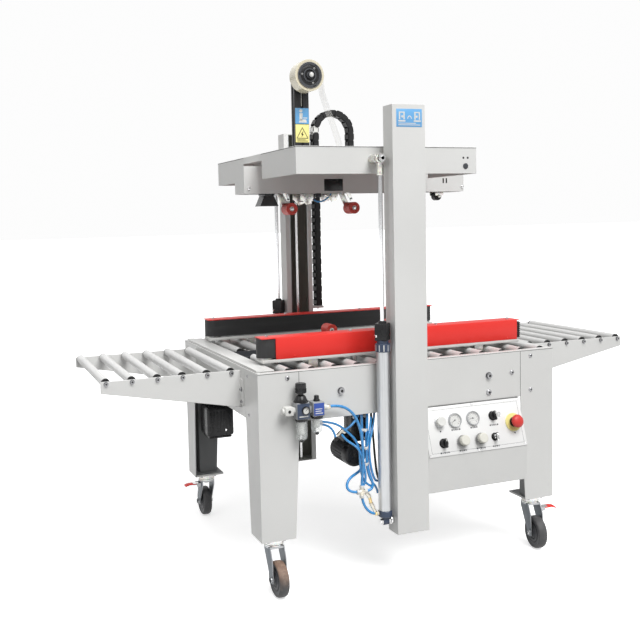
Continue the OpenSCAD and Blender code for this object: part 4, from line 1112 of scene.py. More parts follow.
class SealerReel(bpy.types.Operator):
    """Adds the slotted mast, the tape reel, its hub and the film that runs to the head"""
    bl_idname = "sealer.reel"
    bl_label = "Tape reel"

    MAST = (-185, -136, 45, 75)

    def execute(self, context):
        self.mast()
        self.reel()
        self.film()
        return {"FINISHED"}

    def mast(self):
        x0, x1, y0, y1 = self.MAST
        mid, half, depth = (x0 + x1) / 2, (x1 - x0) / 2, y1 - y0
        slot, lip, deep = 4, 2, 7
        s = Shape()
        front = [(x0, y0), (mid - slot, y0), (mid - slot, y0 + lip), (mid - 8, y0 + lip), (mid - 8, y0 + deep),
                 (mid + 8, y0 + deep), (mid + 8, y0 + lip), (mid + slot, y0 + lip), (mid + slot, y0), (x1, y0)]
        side = [(x1, y0 + depth / 2 - slot), (x1 - lip, y0 + depth / 2 - slot), (x1 - lip, y0 + depth / 2 + slot),
                (x1, y0 + depth / 2 + slot)]
        back = [(2 * mid - x, y0 + y1 - y) for x, y in front]
        other = [(2 * mid - x, y0 + y1 - y) for x, y in side]
        s.prism(front + side + back + other, "xy", HEAD_Z1, 1516, 0, 0.7)
        s.block((x0 - 25, y0 - 1, HEAD_Z1), (x1 + 6, y1 + 1, HEAD_Z1 + 8), 1, 1.2)
        for x in (x0 - 9, x1 + 1):
            s.bolt((x, (y0 + y1) / 2, HEAD_Z1 + 8), UP, 4, 2)
        s.lathe([(8, 33), (20, 33), (22, 35), (22, 44), (20, 46), (8, 46)], (REEL_X, 0, REEL_Z), BACK, 1, 36, True)
        s.rod((REEL_X, -41, REEL_Z), (REEL_X, 46, REEL_Z), 7.9, 2, sides=28)
        knob = [(0, -44), (4.6, -43.4), (6, -41), (6, -30), (0, -30)]
        s.lathe(knob, (REEL_X, 0, REEL_Z), BACK, 3, 24)
        s.block((mid - 1.2, y0 + lip + 1, 1405), (mid + 1.2, y0 + lip + 1.6, 1470), 3)
        s.block((x0 + 1, y0 - 0.5, 1349), (x1 - 1, y0, 1399), 4, 0.2)
        s.block((x0 + 1, y0 - 0.5, 1290), (x1 - 1, y0, 1347), 5, 0.2)
        flat = y0 - 0.5
        s.lathe([(0, 0), (0, 0.35), (5.2, 0.35), (5.2, 0)], (mid - 4, flat, 1390), FRONT, 3, 20)
        s.prism([(mid - 9, 1360), (mid + 1, 1360), (mid + 2, 1383), (mid - 9, 1383)], "xz", flat - 0.35, flat, 3)
        s.prism([(mid - 12, 1353), (mid + 16, 1353), (mid + 14, 1363), (mid - 6, 1363)], "xz", flat - 0.35, flat, 3)
        s.block((mid + 4, flat - 0.35, 1366), (mid + 18, flat, 1369), 3)
        for a, b in (((-19, 1303), (0, 1337)), ((0, 1337), (19, 1303)), ((-19, 1303), (19, 1303))):
            s.rod((mid + a[0], flat - 0.2, a[1]), (mid + b[0], flat - 0.2, b[1]), 0.9, 1, sides=8)
        s.prism([(mid - 3, 1307), (mid + 4, 1315), (mid, 1318), (mid + 4, 1327), (mid - 5, 1316), (mid - 1, 1314)],
                "xz",
                flat - 0.35, flat, 1)
        s.text_bars((mid - 18, flat, 1292), (mid + 18, flat, 1300), 2, 1, 0.35)
        add_piece("mast_profile", s, "head", ("black_alloy", "gloss_black", "bright_steel", "white_plastic",
                                              "blue_label",
                                              "stop_yellow"), ["tape_mast"])

    def reel(self):
        s = Shape()
        half = 25
        axis, centre = BACK, (REEL_X, 0, REEL_Z)
        s.lathe([(41, -half), (48.4, -half), (49, -half + 0.6), (49, half - 0.6), (48.4, half), (41, half)], centre,
                axis, 0, 72, True)
        s.lathe([(38.2, -half - 0.4), (41, -half - 0.4), (41, half + 0.4), (38.2, half + 0.4)], centre, axis, 1, 72,
                True)
        s.lathe([(38.2, -half - 1), (40.6, -half - 1), (41, -half - 2), (40.4, -half - 3), (33, -half - 3),
                 (31, -half - 1),
                 (34.6, half + 2), (38.2, half + 2)], centre, axis, 3, 64, True)
        s.lathe([(39.6, -half - 3.2), (40.8, -half - 2.6), (40.8, -half - 2), (39.6, -half - 2)], centre, axis, 4, 64,
                True)
        s.lathe([(21, -half - 0.6), (32, -half - 0.6), (35, -half + 1), (21, -half + 1)], centre, axis, 2, 56, True)
        s.lathe([(17.6, -half - 2.4), (21.6, -half - 2.4), (21.6, -half + 1), (17.6, -half + 1)], centre, axis, 3, 48,
                True)
        s.lathe([(8.1, -half + 2), (19.4, -half + 2), (19.4, -half + 5), (8.1, -half + 5)], centre, axis, 2, 40, True)
        s.lathe([(8.1, -half - 2.6), (10.6, -half - 2.6), (10.6, half + 2), (8.1, half + 2)], centre, axis, 3, 32, True)
        for n in range(3):
            turn = Matrix.Translation(centre) @ Matrix.Rotation(TURN * (n + 0.3) / 3, 4, "Y") @ Matrix.Translation(
                -Vector(centre))
            s.place = turn
            s.screw((REEL_X, -half - 0.6, REEL_Z + 26), FRONT, 3.6, 4)
            s.block((REEL_X - 5, -half - 3.3, REEL_Z + 34), (REEL_X + 5, -half - 2.9, REEL_Z + 38), 2, 0.1)
        s.place = Matrix.Identity(4)
        add_piece("reel_with_tape", s, "tape_reel", ("rolled_tape", "card", "gloss_black", "slate", "collar_grey"),
                  ["tape_reel"])

    def film(self):
        """The web of tape from the roll down through the slot in the bridge."""
        route = [(-113.5, 1478), (-108, 1440), (-92, 1392), (-68, 1330), (-50, 1275), (-48, 1235), (-48, 1170)]
        s = Shape()
        rows = [[s.bm.verts.new((x, y, z)) for y in (-24, -8, 8, 24)] for x, z in route]
        for a, b in zip(rows, rows[1:]):
            for n in range(3):
                s.bm.faces.new((a[n], a[n + 1], b[n + 1], b[n]))
        obj = add_piece("tape_web", s, "head", ("tape_film",))
        thick = obj.modifiers.new("Film", "SOLIDIFY")
        thick.thickness = 0.3 * MM


class SealerChain(bpy.types.Operator):
    """Adds the cable chain that joins the far column to the head"""
    bl_idname = "sealer.chain"
    bl_label = "Cable chain"

    LEFT, RIGHT, RADIUS = 36, 178, 71
    BASE, SPRING, FOOT_Z = 720, 1360, 1180
    Y0, Y1 = 390, 426

    def spot(self, run):
        """Point and direction at a distance along the chain."""
        rise = self.SPRING - self.BASE
        arch = math.pi * self.RADIUS
        if run < rise:
            return self.LEFT, self.BASE + run, 0.0
        if run < rise + arch:
            angle = (run - rise) / self.RADIUS
            x = self.LEFT + self.RADIUS * (1 - math.cos(angle))
            return x, self.SPRING + self.RADIUS * math.sin(angle), angle
        return self.RIGHT, self.SPRING - (run - rise - arch), math.pi

    def execute(self, context):
        pitch = sizes().link
        total = (self.SPRING - self.BASE) + math.pi * self.RADIUS + (self.SPRING - self.FOOT_Z)
        count = round(total / pitch)
        pitch = total / count
        s = Shape()
        for n in range(count):
            x, z, angle = self.spot((n + 0.5) * pitch)
            s.place = Matrix.Translation((x, 0, z)) @ Matrix.Rotation(angle, 4, "Y")
            no = 1 if n == 25 else 0
            inset = 2.4 if n % 2 else 0.0
            for y0, y1 in ((self.Y0 + inset, self.Y0 + inset + 2.4), (self.Y1 - inset - 2.4, self.Y1 - inset)):
                h = pitch * 0.62
                outline = [(-11, -h + 6), (-6, -h), (6, -h), (11, -h + 6), (11, h - 6), (6, h), (-6, h), (-11, h - 6)]
                s.prism(outline, "xz", y0, y1, no)
            for x0 in (-11, 8.6):
                s.block((x0, self.Y0 + inset, -7.5), (x0 + 2.4, self.Y1 - inset, 7.5), no)
        s.place = Matrix.Identity(4)
        chain = add_piece("cable_chain", s, BODY, ("black_plastic", "white_plastic"), ["drag_chain"])
        chain.parent = None
        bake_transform(chain)
        ends = Shape()
        ends.bolt((self.LEFT, 408, 712), DOWN, 4)
        add_piece("chain_foot_bolt", ends, BODY, ("bright_steel",))
        clamp = Shape()
        clamp.block((166, 388, 1176), (190, 428, 1192), 0, 1.5)
        add_piece("chain_clamp", clamp, "head", ("black_plastic",))
        return {"FINISHED"}


class SealerSideDrives(bpy.types.Operator):
    """Adds the two side belt units with covers, belts, guide blocks and motors"""
    bl_idname = "sealer.side_drives"
    bl_label = "Side drives"

    X0, X1 = -443, 430
    COVER = (-396, 417)

    def execute(self, context):
        for name, side in (("front", -1), ("back", 1)):
            s = Shape(Matrix.Diagonal((1, side, 1, 1)))
            self.unit(s)
            if side < 0:
                self.round_motor(s)
            else:
                self.box_motor(s)
            add_piece(f"side_drive_{name}_unit", s, f"side_drive_{name}",
                      ("cover_red", "pale_base", "zinc_plate", "black_plastic", "bright_steel", "tube_alloy",
                       "gloss_black", "dark_motor"),
                      [f"side_unit_{name}"])
            b = Shape(Matrix.Diagonal((1, side, 1, 1)))
            self.belt(b)
            add_piece(f"side_drive_{name}_belt", b, f"side_drive_{name}", ("belt_rubber",),
                      [f"side_belt_{name}"], 50)
        return {"FINISHED"}

    def unit(self, s):
        x0, x1 = self.X0, self.X1
        c0, c1 = self.COVER
        base, top = UNIT_Z + 9, 712
        s.block((x0 + 6, UNIT_IN - 4, UNIT_Z), (x1 - 6, UNIT_OUT, base), 1, 1.4)
        s.block((c0, UNIT_OUT - 3, base), (c1, UNIT_OUT, top - 0.5), 0, 1.2)
        s.block((x0 + 4, UNIT_IN + 1, top - 3), (x1 - 4, UNIT_OUT - 0.5, top), 0, 1.2)
        s.block((c1 + 0.5, UNIT_OUT - 12, 655), (x1 - 3, UNIT_OUT - 1, 705), 3, 0.6)
        for n in range(8):
            s.block((c1 + 1.5, UNIT_OUT - 2, 657 + n * 6), (x1 - 1.5, UNIT_OUT + 0.4, 660 + n * 6), 6, 0.4)
        s.block((c0, UNIT_IN + 5, base), (c1 - 20, UNIT_IN + 11, top - 3), 5, 0.6)
        for x in (x0 + 30, -150, 140, x1 - 30):
            s.bolt((x, 267, top), UP, 4.2, 4)
        for x in (-340, -60, 200, 380):
            s.screw((x, UNIT_OUT, 657), BACK, 2.6, 0)
        for x in (x0 + 28, x1 - 28):
            s.lathe([(6, 651), (22.6, 651), (22.6, 653), (21, 654), (21, 707), (22.6, 708), (22.6, 709), (6, 709)],
                    (x, 265, 0), UP, 2, 40, True)
            s.rod((x, 265, 649), (x, 265, 711), 6, 4)
        for x in (-SLIDE_X, SLIDE_X):
            s.block((x - 15, UNIT_IN + 7, 595), (x + 15, UNIT_OUT - 7, UNIT_Z), 2, 1)
            for z0, z1 in ((555.5, 564.5), (586.5, 598.5)):
                s.block((x - 25, UNIT_IN, z0), (x + 25, UNIT_OUT, z1), 2, 1.2)
            for a in (-25, 11):
                s.block((x + a, UNIT_IN, 563), (x + a + 14, UNIT_OUT, 588), 2, 1)
            bush = [(10.1, UNIT_IN - 2), (13.5, UNIT_IN - 2), (13.5, UNIT_OUT + 2), (10.1, UNIT_OUT + 2)]
            s.lathe(bush, (x, 0, SLIDE_Z), BACK, 5, 32, True)
            for y in (UNIT_IN + 12, UNIT_OUT - 12):
                s.bolt((x - 20, y, 598.5), UP, 3.6, 4)
                s.bolt((x + 20, y, 598.5), UP, 3.6, 4)

    def gearbox(self, s, x):
        s.rod((x, 267, 468), (x, 267, UNIT_Z), 9.8, 4)
        s.lathe([(0, 470), (17, 470), (19, 474), (19, 486), (14, 490), (0, 490)], (x, 267, 0), UP, 2, 32)
        s.block((x - 25, UNIT_IN, 385), (x + 25, UNIT_OUT, 470), 6, 5, 3)
        for z in (395, 460):
            for a in (-18, 18):
                s.bolt((x + a, UNIT_OUT, z), BACK, 3.6, 4)
        s.lathe([(0, 2.5), (14, 2.5), (16, 0)], (x, UNIT_OUT, 428), BACK, 3, 28)

    def round_motor(self, s):
        x, z = -168, 355
        self.gearbox(s, -140)
        body = [(0, 216), (30, 216), (33, 219), (33, 300), (31, 302), (0, 302)]
        s.lathe(body, (x, 0, z), BACK, 7, 48)
        for n in range(24):
            turn = Matrix.Translation((x, 0, z)) @ Matrix.Rotation(TURN * n / 24, 4,
                                                                   "Y") @ Matrix.Translation((-x, 0, -z))
            keep, s.place = s.place, s.place @ turn
            s.block((x - 0.9, 222, z + 32), (x + 0.9, 298, z + 35), 7, 0.3)
            s.place = keep
        hood = [(0, 330), (26, 330), (33, 327), (35, 322), (35, 300), (0, 300)]
        s.lathe(hood, (x, 0, z), BACK, 6, 48)
        for r in (9, 16, 23):
            s.lathe([(r, 330), (r + 2.4, 330), (r + 2.4, 331), (r, 331)], (x, 0, z), BACK, 6, 36, True)
        s.block((x - 18, 240, z + 30), (x + 18, 284, z + 52), 6, 3)

    def box_motor(self, s):
        x = -420
        self.gearbox(s, x)
        s.block((x - 43, 200, 320), (x + 50, 290, 420), 6, 9, 4)
        s.block((x - 36, 207, 312), (x + 43, 283, 321), 6, 3)
        for n in range(7):
            s.block((x - 35 + n * 12, 199, 335), (x - 29 + n * 12, 200.4, 405), 6, 0.6)
        s.rod((x + 20, 201, 340), (x + 20, 199, 340), 4, 4, sides=12)

    def belt(self, s):
        """The closed loop of belt round the two pulleys."""
        r, t = 28, 5
        xa, xb, y = self.X0 + r, self.X1 - r, 265
        outer, inner = [], []
        steps = 16
        for centre, start in ((xb, -90), (xa, 90)):
            for n in range(steps + 1):
                a = math.radians(start + 180 * n / steps)
                outer.append((centre + r * math.cos(a), y + r * math.sin(a)))
                inner.append((centre + (r - t) * math.cos(a), y + (r - t) * math.sin(a)))
        bm = s.bm
        rings = [[bm.verts.new((x, yy, z)) for x, yy in line] for line, z in
                 ((outer, 654), (outer, 708), (inner, 708), (inner, 654))]
        count = len(outer)
        for a, b in zip(rings, rings[1:] + rings[:1]):
            for n in range(count):
                m = (n + 1) % count
                bm.faces.new((a[n], a[m], b[m], b[n]))
        s._settle([v for ring in rings for v in ring], 0)


class SealerControls(bpy.types.Operator):
    """Adds the control box, its leaning face, gauges, buttons, selectors and knobs"""
    bl_idname = "sealer.controls"
    bl_label = "Controls"

    X0, X1 = 14, 356
    TOP_Z = 487.7
    PLATE = 3
    PUSH_X, STOP_X = 66, 318
    ROW_1, ROW_2, ROW_STOP = 48, 110, 74

    def face_frame(self):
        """Local frame of the face: X along the machine, Y up the slope, Z outward."""
        tilt = math.atan2(FACE_DROP, FACE_LEAN)
        return Matrix.Translation((0, -HALF_WID, self.TOP_Z)) @ Matrix.Rotation(tilt, 4, "X")

    def at(self, x, down):
        return self.face_frame() @ Matrix.Translation((x, -down, 0))

    def execute(self, context):
        box = node_shape("control_box")
        soften(add_piece("control_box_folded", box, BODY, ("coated_paint",), ["control_box"]), 1.6)
        self.plate()
        self.push()
        self.stop()
        for name, x, down, r in (("key_selector", 250, self.ROW_1, 11), ("mode_selector", 69, self.ROW_2, 11),
                                 ("small_selector", 245, self.ROW_2, 9)):
            self.selector(name, x, down, r)
        for name, x in (("gauge_knob_left", 130), ("gauge_knob_right", 192)):
            self.gauge_knob(name, x)
        return {"FINISHED"}

    def plate(self):
        length = math.hypot(FACE_DROP, FACE_LEAN)
        s = Shape(self.face_frame())
        s.block((self.X0 + 2, -length + 2, 0), (self.X1 - 2, -2, self.PLATE), 0, 1.0)
        line, h = 0.6, self.PLATE
        x0, x1, y0, y1 = self.X0 + 12, self.X1 - 12, -length + 12, -12
        for a, b in (((x0, y0), (x1, y0 + line)), ((x0, y1 - line), (x1, y1)), ((x0, y0), (x0 + line, y1)),
                     ((x1 - line, y0), (x1, y1))):
            s.block((*a, h - 0.1), (*b, h + 0.12), 1)
        for x in (self.X0 + 7.5, (self.X0 + self.X1) / 2, self.X1 - 7.5):
            for y in (-7.5, -length + 7.5):
                s.screw((x, y, h), UP, 3.2, 2)
        places = ((self.PUSH_X, self.ROW_1), (118, self.ROW_1), (180, self.ROW_1), (250, self.ROW_1),
                  (self.STOP_X, self.ROW_STOP),
                  (69, self.ROW_2), (130, self.ROW_2), (192, self.ROW_2), (245, self.ROW_2))
        for n, (x, down) in enumerate(places):
            low = -down - (33 if x == self.STOP_X else 28)
            marks = 1 if x in (self.PUSH_X, self.STOP_X) else 4 + n % 2
            for k in range(marks):
                left = x + (k - marks / 2) * 6.4
                s.block((left + 0.8, low - 1.2, h - 0.1), (left + 5, low + 3, h + 0.12), 1)
                if k % 2:
                    s.block((left + 2, low, h + 0.1), (left + 3.8, low + 1.8, h + 0.16), 0)
        # A black strip of painted shadow along the top edge of the plate, in the gap under the box.
        s.block((self.X0 + 1, -2.4, 0.2), (self.X1 - 1, -0.6, h + 0.3), 4)
        for x in (118, 180):
            self.gauge(s, x)
        s.place = self.at(self.STOP_X, self.ROW_STOP)
        s.lathe([(7.4, h - 0.2), (27, h - 0.2), (27, h + 3), (26, h + 4), (7.4, h + 4)], ORIGIN, UP, 6, 48, True)
        for x, down, r in ((self.PUSH_X, self.ROW_1, 15), (250, self.ROW_1, 14), (69, self.ROW_2, 14),
                           (130, self.ROW_2, 12),
                           (192, self.ROW_2, 12), (245, self.ROW_2, 12), (self.STOP_X, self.ROW_STOP, 15)):
            s.place = self.at(x, down)
            lift = 4 if x == self.STOP_X else 0
            tall = 5 if x in (self.PUSH_X, self.STOP_X) else 0.9
            ring = [(7.3, h + lift), (r, h + lift), (r, h + lift + tall - 0.4), (r - 1, h + lift + tall),
                    (7.3, h + lift + tall)]
            s.lathe(ring, ORIGIN, UP, 5 if x == self.PUSH_X else 4, 36, True)
        add_piece("control_face", s, BODY, ("white_plate", "slate", "bright_steel", "collar_grey", "gloss_black",
                                            "tube_alloy", "stop_yellow", "white_plastic", "gauge_glass"),
                  ["control_plate"])

    def gauge(self, s, x):
        h = self.PLATE
        s.place = self.at(x, self.ROW_1)
        ring = [(19, h), (21, h), (21, h + 6.5), (20.4, h + 8), (19, h + 8)]
        s.lathe(ring, ORIGIN, UP, 5, 48, True)
        s.lathe([(0, h + 2), (19.1, h + 2), (19.1, h), (0, h)], ORIGIN, UP, 7, 40)
        for n in range(11):
            turn = Matrix.Rotation(math.radians(-135 + 27 * n), 4, "Z")
            s.place = self.at(x, self.ROW_1) @ turn
            s.block((-0.5, 12.5 if n % 5 == 0 else 13.6, h + 2), (0.5, 16, h + 2.3), 1)
        s.place = self.at(x, self.ROW_1) @ Matrix.Rotation(math.radians(118 if x < 150 else 96), 4, "Z")
        s.block((-0.6, -4, h + 2.4), (0.6, 12.5, h + 2.9), 1)
        s.place = self.at(x, self.ROW_1)
        s.lathe([(0, h + 3.6), (2.2, h + 3.4), (2.4, h + 2), (0, h + 2)], ORIGIN, UP, 1, 16)
        s.lathe([(0, h + 7), (19.1, h + 7), (19.1, h + 6.4), (0, h + 6.4)], ORIGIN, UP, 8, 32)
        s.place = self.face_frame()

    def push(self):
        s = Shape(self.at(self.PUSH_X, self.ROW_1))
        h = self.PLATE
        s.rod((0, 0, -8), (0, 0, h + 7), 6.9, 1)
        s.lathe([(0, h + 18.5), (8, h + 18.8), (12.4, h + 19), (13.6, h + 17.6), (13.8, h + 8), (0, h + 7)], ORIGIN,
                UP, 0, 40)
        add_piece("push_button_cap", s, "push_button", ("white_plastic", "black_plastic"),
                  ["push_button"])

    def stop(self):
        s = Shape(self.at(self.STOP_X, self.ROW_STOP))
        h = self.PLATE
        s.rod((0, 0, -8), (0, 0, h + 12), 6.9, 1)
        s.lathe([(0, h + 20), (11.6, h + 20), (12, h + 11), (0, h + 11)], ORIGIN, UP, 0, 32)
        cap = [(0, h + 34), (6, h + 33.8), (12, h + 32.6), (16.6, h + 30), (18.8, h + 26), (19, h + 22.5),
               (17.6, h + 20.2),
               (11, h + 19.8), (0, h + 19.8)]
        s.lathe(cap, ORIGIN, UP, 0, 48)
        for n in range(24):
            s.place = self.at(self.STOP_X, self.ROW_STOP) @ Matrix.Rotation(TURN * n / 24, 4, "Z")
            s.block((18, -0.9, h + 21.5), (19.8, 0.9, h + 27), 0, 0.4)
        add_piece("stop_mushroom", s, "estop_button", ("stop_red", "black_plastic"), ["estop_button"])

    def selector(self, name, x, down, r):
        s = Shape(self.at(x, down))
        h = self.PLATE
        s.rod((0, 0, -8), (0, 0, h + 2), 6.9, 0)
        s.lathe([(0, h + 10.5), (r - 2, h + 10.5), (r, h + 9), (r, h + 1), (0, h + 1)], ORIGIN, UP, 0, 36)
        s.prism([(-3.6, -r - 2), (0, -r - 3), (3.6, -r - 2), (3.6, r + 1), (0, r + 3), (-3.6, r + 1)], "xy", h + 9,
                h + 19, 0, 1.2)
        s.block((-0.8, r - 6, h + 18.8), (0.8, r + 1, h + 19.2), 1)
        if name == "key_selector":
            s.block((-1.2, -5, h + 18), (1.2, 5, h + 30), 2, 0.4)
            s.lathe([(3, -1.1), (7.5, -1.1), (7.5, 1.1), (3, 1.1)], (0, 0, h + 35), (1, 0, 0), 2, 28, True)
        if name == "small_selector":
            s.lathe([(0, h + 11.4), (r - 3.5, h + 11.4), (r - 2, h + 10.4), (0, h + 10)], ORIGIN, UP, 2, 28)
            s.rod((0, -r - 4, h + 17.4), (0, r, h + 17.4), 3.9, 2, sides=20, round_=1)
        add_piece(f"{name}_lever", s, name, ("gloss_black", "white_plastic", "bright_steel"), [name])

    def gauge_knob(self, name, x):
        s = Shape(self.at(x, self.ROW_2))
        h = self.PLATE
        s.rod((0, 0, -8), (0, 0, h + 2), 6.9, 1)
        s.lathe([(0, h + 6), (12, h + 6), (12.6, h + 1), (0, h + 1)], ORIGIN, UP, 1, 32)
        s.lathe([(0, h + 26), (12.6, h + 26), (14.4, h + 24.6), (14.8, h + 21), (14.8, h + 14), (0, h + 14)],
                ORIGIN, UP, 0, 48)
        s.lathe([(0, h + 14), (15.4, h + 14), (15.8, h + 13), (15.8, h + 6), (0, h + 6)], ORIGIN, UP, 2, 48)
        for n in range(20):
            s.place = self.at(x, self.ROW_2) @ Matrix.Rotation(TURN * n / 20, 4, "Z")
            s.block((-1.1, 14.6, h + 6.6), (1.1, 16.6, h + 13.4), 2, 0.4)
            s.block((-0.7, 14.0, h + 15), (0.7, 15.4, h + 24), 0, 0.3)
        add_piece(f"{name}_grip", s, name, ("ivory_plastic", "gloss_black", "collar_grey"), [name])


class SealerAirUnit(bpy.types.Operator):
    """Adds the air preparation unit: slide valve, filter regulator, lubricator, bowls and gauge"""
    bl_idname = "sealer.air_unit"
    bl_label = "Air unit"

    def execute(self, context):
        s = Shape()
        x, y, z = AIR
        s.block((x - 19, y - 18, z - 24), (x + 19, y + 19, z + 22), 0, 2.5, 3)
        s.block((LUBE_X - 17, y - 17, z - 20), (LUBE_X + 17, y + 17, z + 20), 0, 2.5, 3)
        s.block((x + 18, y - 9, z - 9), (LUBE_X - 16, y + 9, z + 9), 0, 1.5)
        s.block((x - 12, y + 18, z - 14), (x + 12, -HALF_WID, z + 14), 3, 1)
        s.block((x - 18, y - 18.6, z - 22), (x + 18, y - 17.8, z + 20), 1, 0.3)
        s.block((LUBE_X - 15, y - 17.6, z - 17), (LUBE_X + 15, y - 16.8, z + 17), 2, 0.3)
        s.text_bars((LUBE_X - 11, y - 17.6, z - 14), (LUBE_X + 11, y - 17.6, z + 4), 3, 4, 0.25)
        s.text_bars((x - 13, y - 18.6, z - 19), (x + 13, y - 18.6, z - 12), 1, 4, 0.25)
        s.rod((x - 30, y, z), (x - 18, y, z), 9, 4, sides=20, round_=1)
        s.block((x - 50, y - 12, z - 12), (x - 26, y + 12, z + 12), 4, 2, 3)
        s.rod((x - 56, y, z), (x - 49, y, z), 8.5, 4, sides=24, round_=1)
        s.lathe([(0, 1.5), (3.6, 1.5), (4.4, 0)], (x - 38, y - 12, z), FRONT, 3, 20)
        s.rod((LUBE_X + 16, y, z), (LUBE_X + 30, y, z), 7.5, 4, sides=24, round_=1)
        s.rod((LUBE_X + 28, y, z), (LUBE_X + 40, y, z), 6.5, 5, sides=24, round_=1)
        s.lathe([(0, 42), (7.9, 42), (13, 38), (19, 24), (19, 21), (0, 21)], (x, y, z), UP, 3, 40)
        s.lathe([(14, 27), (20.5, 25), (21, 22), (14, 22)], (x, y, z), UP, 3, 40, True)
        s.rod((x, y, z + 40), (x, y, z + 64), 6.9, 3)
        s.lathe([(0, 36), (5, 36), (7, 34), (7, 26), (9, 24), (9, 19), (0, 19)], (LUBE_X, y, z), UP, 3, 32)
        self.bowl(s, x, y, z - 23, 67)
        self.bowl(s, LUBE_X, y, z - 19, 55)
        self.dial(s, x + 6, y - 18.6, z + 1)
        add_piece("air_unit_bodies", s, BODY, ("grey_box", "blue_end", "deep_blue", "gloss_black", "white_plastic",
                                               "nickel",
                                               "clear_bowl", "white_plastic", "gauge_glass"), ["air_unit"])
        k = Shape()
        k.lathe([(0, 74), (12.6, 74), (15, 72), (15.2, 62), (14.4, 60), (14.4, 48), (13.6, 46.2), (7.1, 46.2),
                 (7.1, 64.8),
                 (0, 64.8)], (x, y, z), UP, 0, 48)
        for n in range(20):
            k.place = Matrix.Translation((x, y, 0)) @ Matrix.Rotation(TURN * n / 20, 4, "Z")
            k.block((-1.1, 14, z + 48), (1.1, 15.7, z + 59.5), 0, 0.4)
        add_piece("air_unit_knob_grip", k, "air_unit_knob", ("gloss_black",), ["air_unit_knob"])
        return {"FINISHED"}

    def bowl(self, s, x, y, top, tall):
        s.lathe([(13, 0), (17.5, 0), (17.5, -6), (16.5, -8), (13, -8)], (x, y, top), UP, 3, 36, True)
        wall = [(14.6, -7), (16.2, -7), (16.2, -tall + 16), (14.5, -tall + 10), (9, -tall + 6), (4, -tall + 5),
                (4, -tall + 7),
                (8.4, -tall + 8), (13.2, -tall + 12), (14.6, -tall + 17)]
        s.lathe(wall, (x, y, top), UP, 6, 36, True)
        s.lathe([(0, -9), (7, -9), (8, -12), (8, -tall + 24), (5, -tall + 20), (0, -tall + 20)], (x, y, top), UP, 4, 24)
        s.lathe([(0, -tall + 8), (5, -tall + 7), (6, -tall + 4), (3.4, -tall), (0, -tall)], (x, y, top), UP, 3, 20)

    def dial(self, s, x, y, z):
        s.lathe([(9.4, 0), (11.4, 0), (11.4, 4.4), (10.6, 5.4), (9.4, 5.4)], (x, y, z), FRONT, 3, 36, True)
        s.lathe([(0, 2.4), (9.6, 2.4), (9.6, 0), (0, 0)], (x, y, z), FRONT, 7, 32)
        for n in range(9):
            angle = math.radians(-120 + 30 * n)
            s.place = Matrix.Translation((x, y, z)) @ Matrix.Rotation(angle, 4, "Y")
            s.block((-0.3, -2.7, 6.8), (0.3, -2.4, 8.6), 3)
        s.place = Matrix.Translation((x, y, z)) @ Matrix.Rotation(math.radians(48), 4, "Y")
        s.block((-0.4, -3.0, -2), (0.4, -2.5, 7), 3)
        s.place = Matrix.Identity(4)


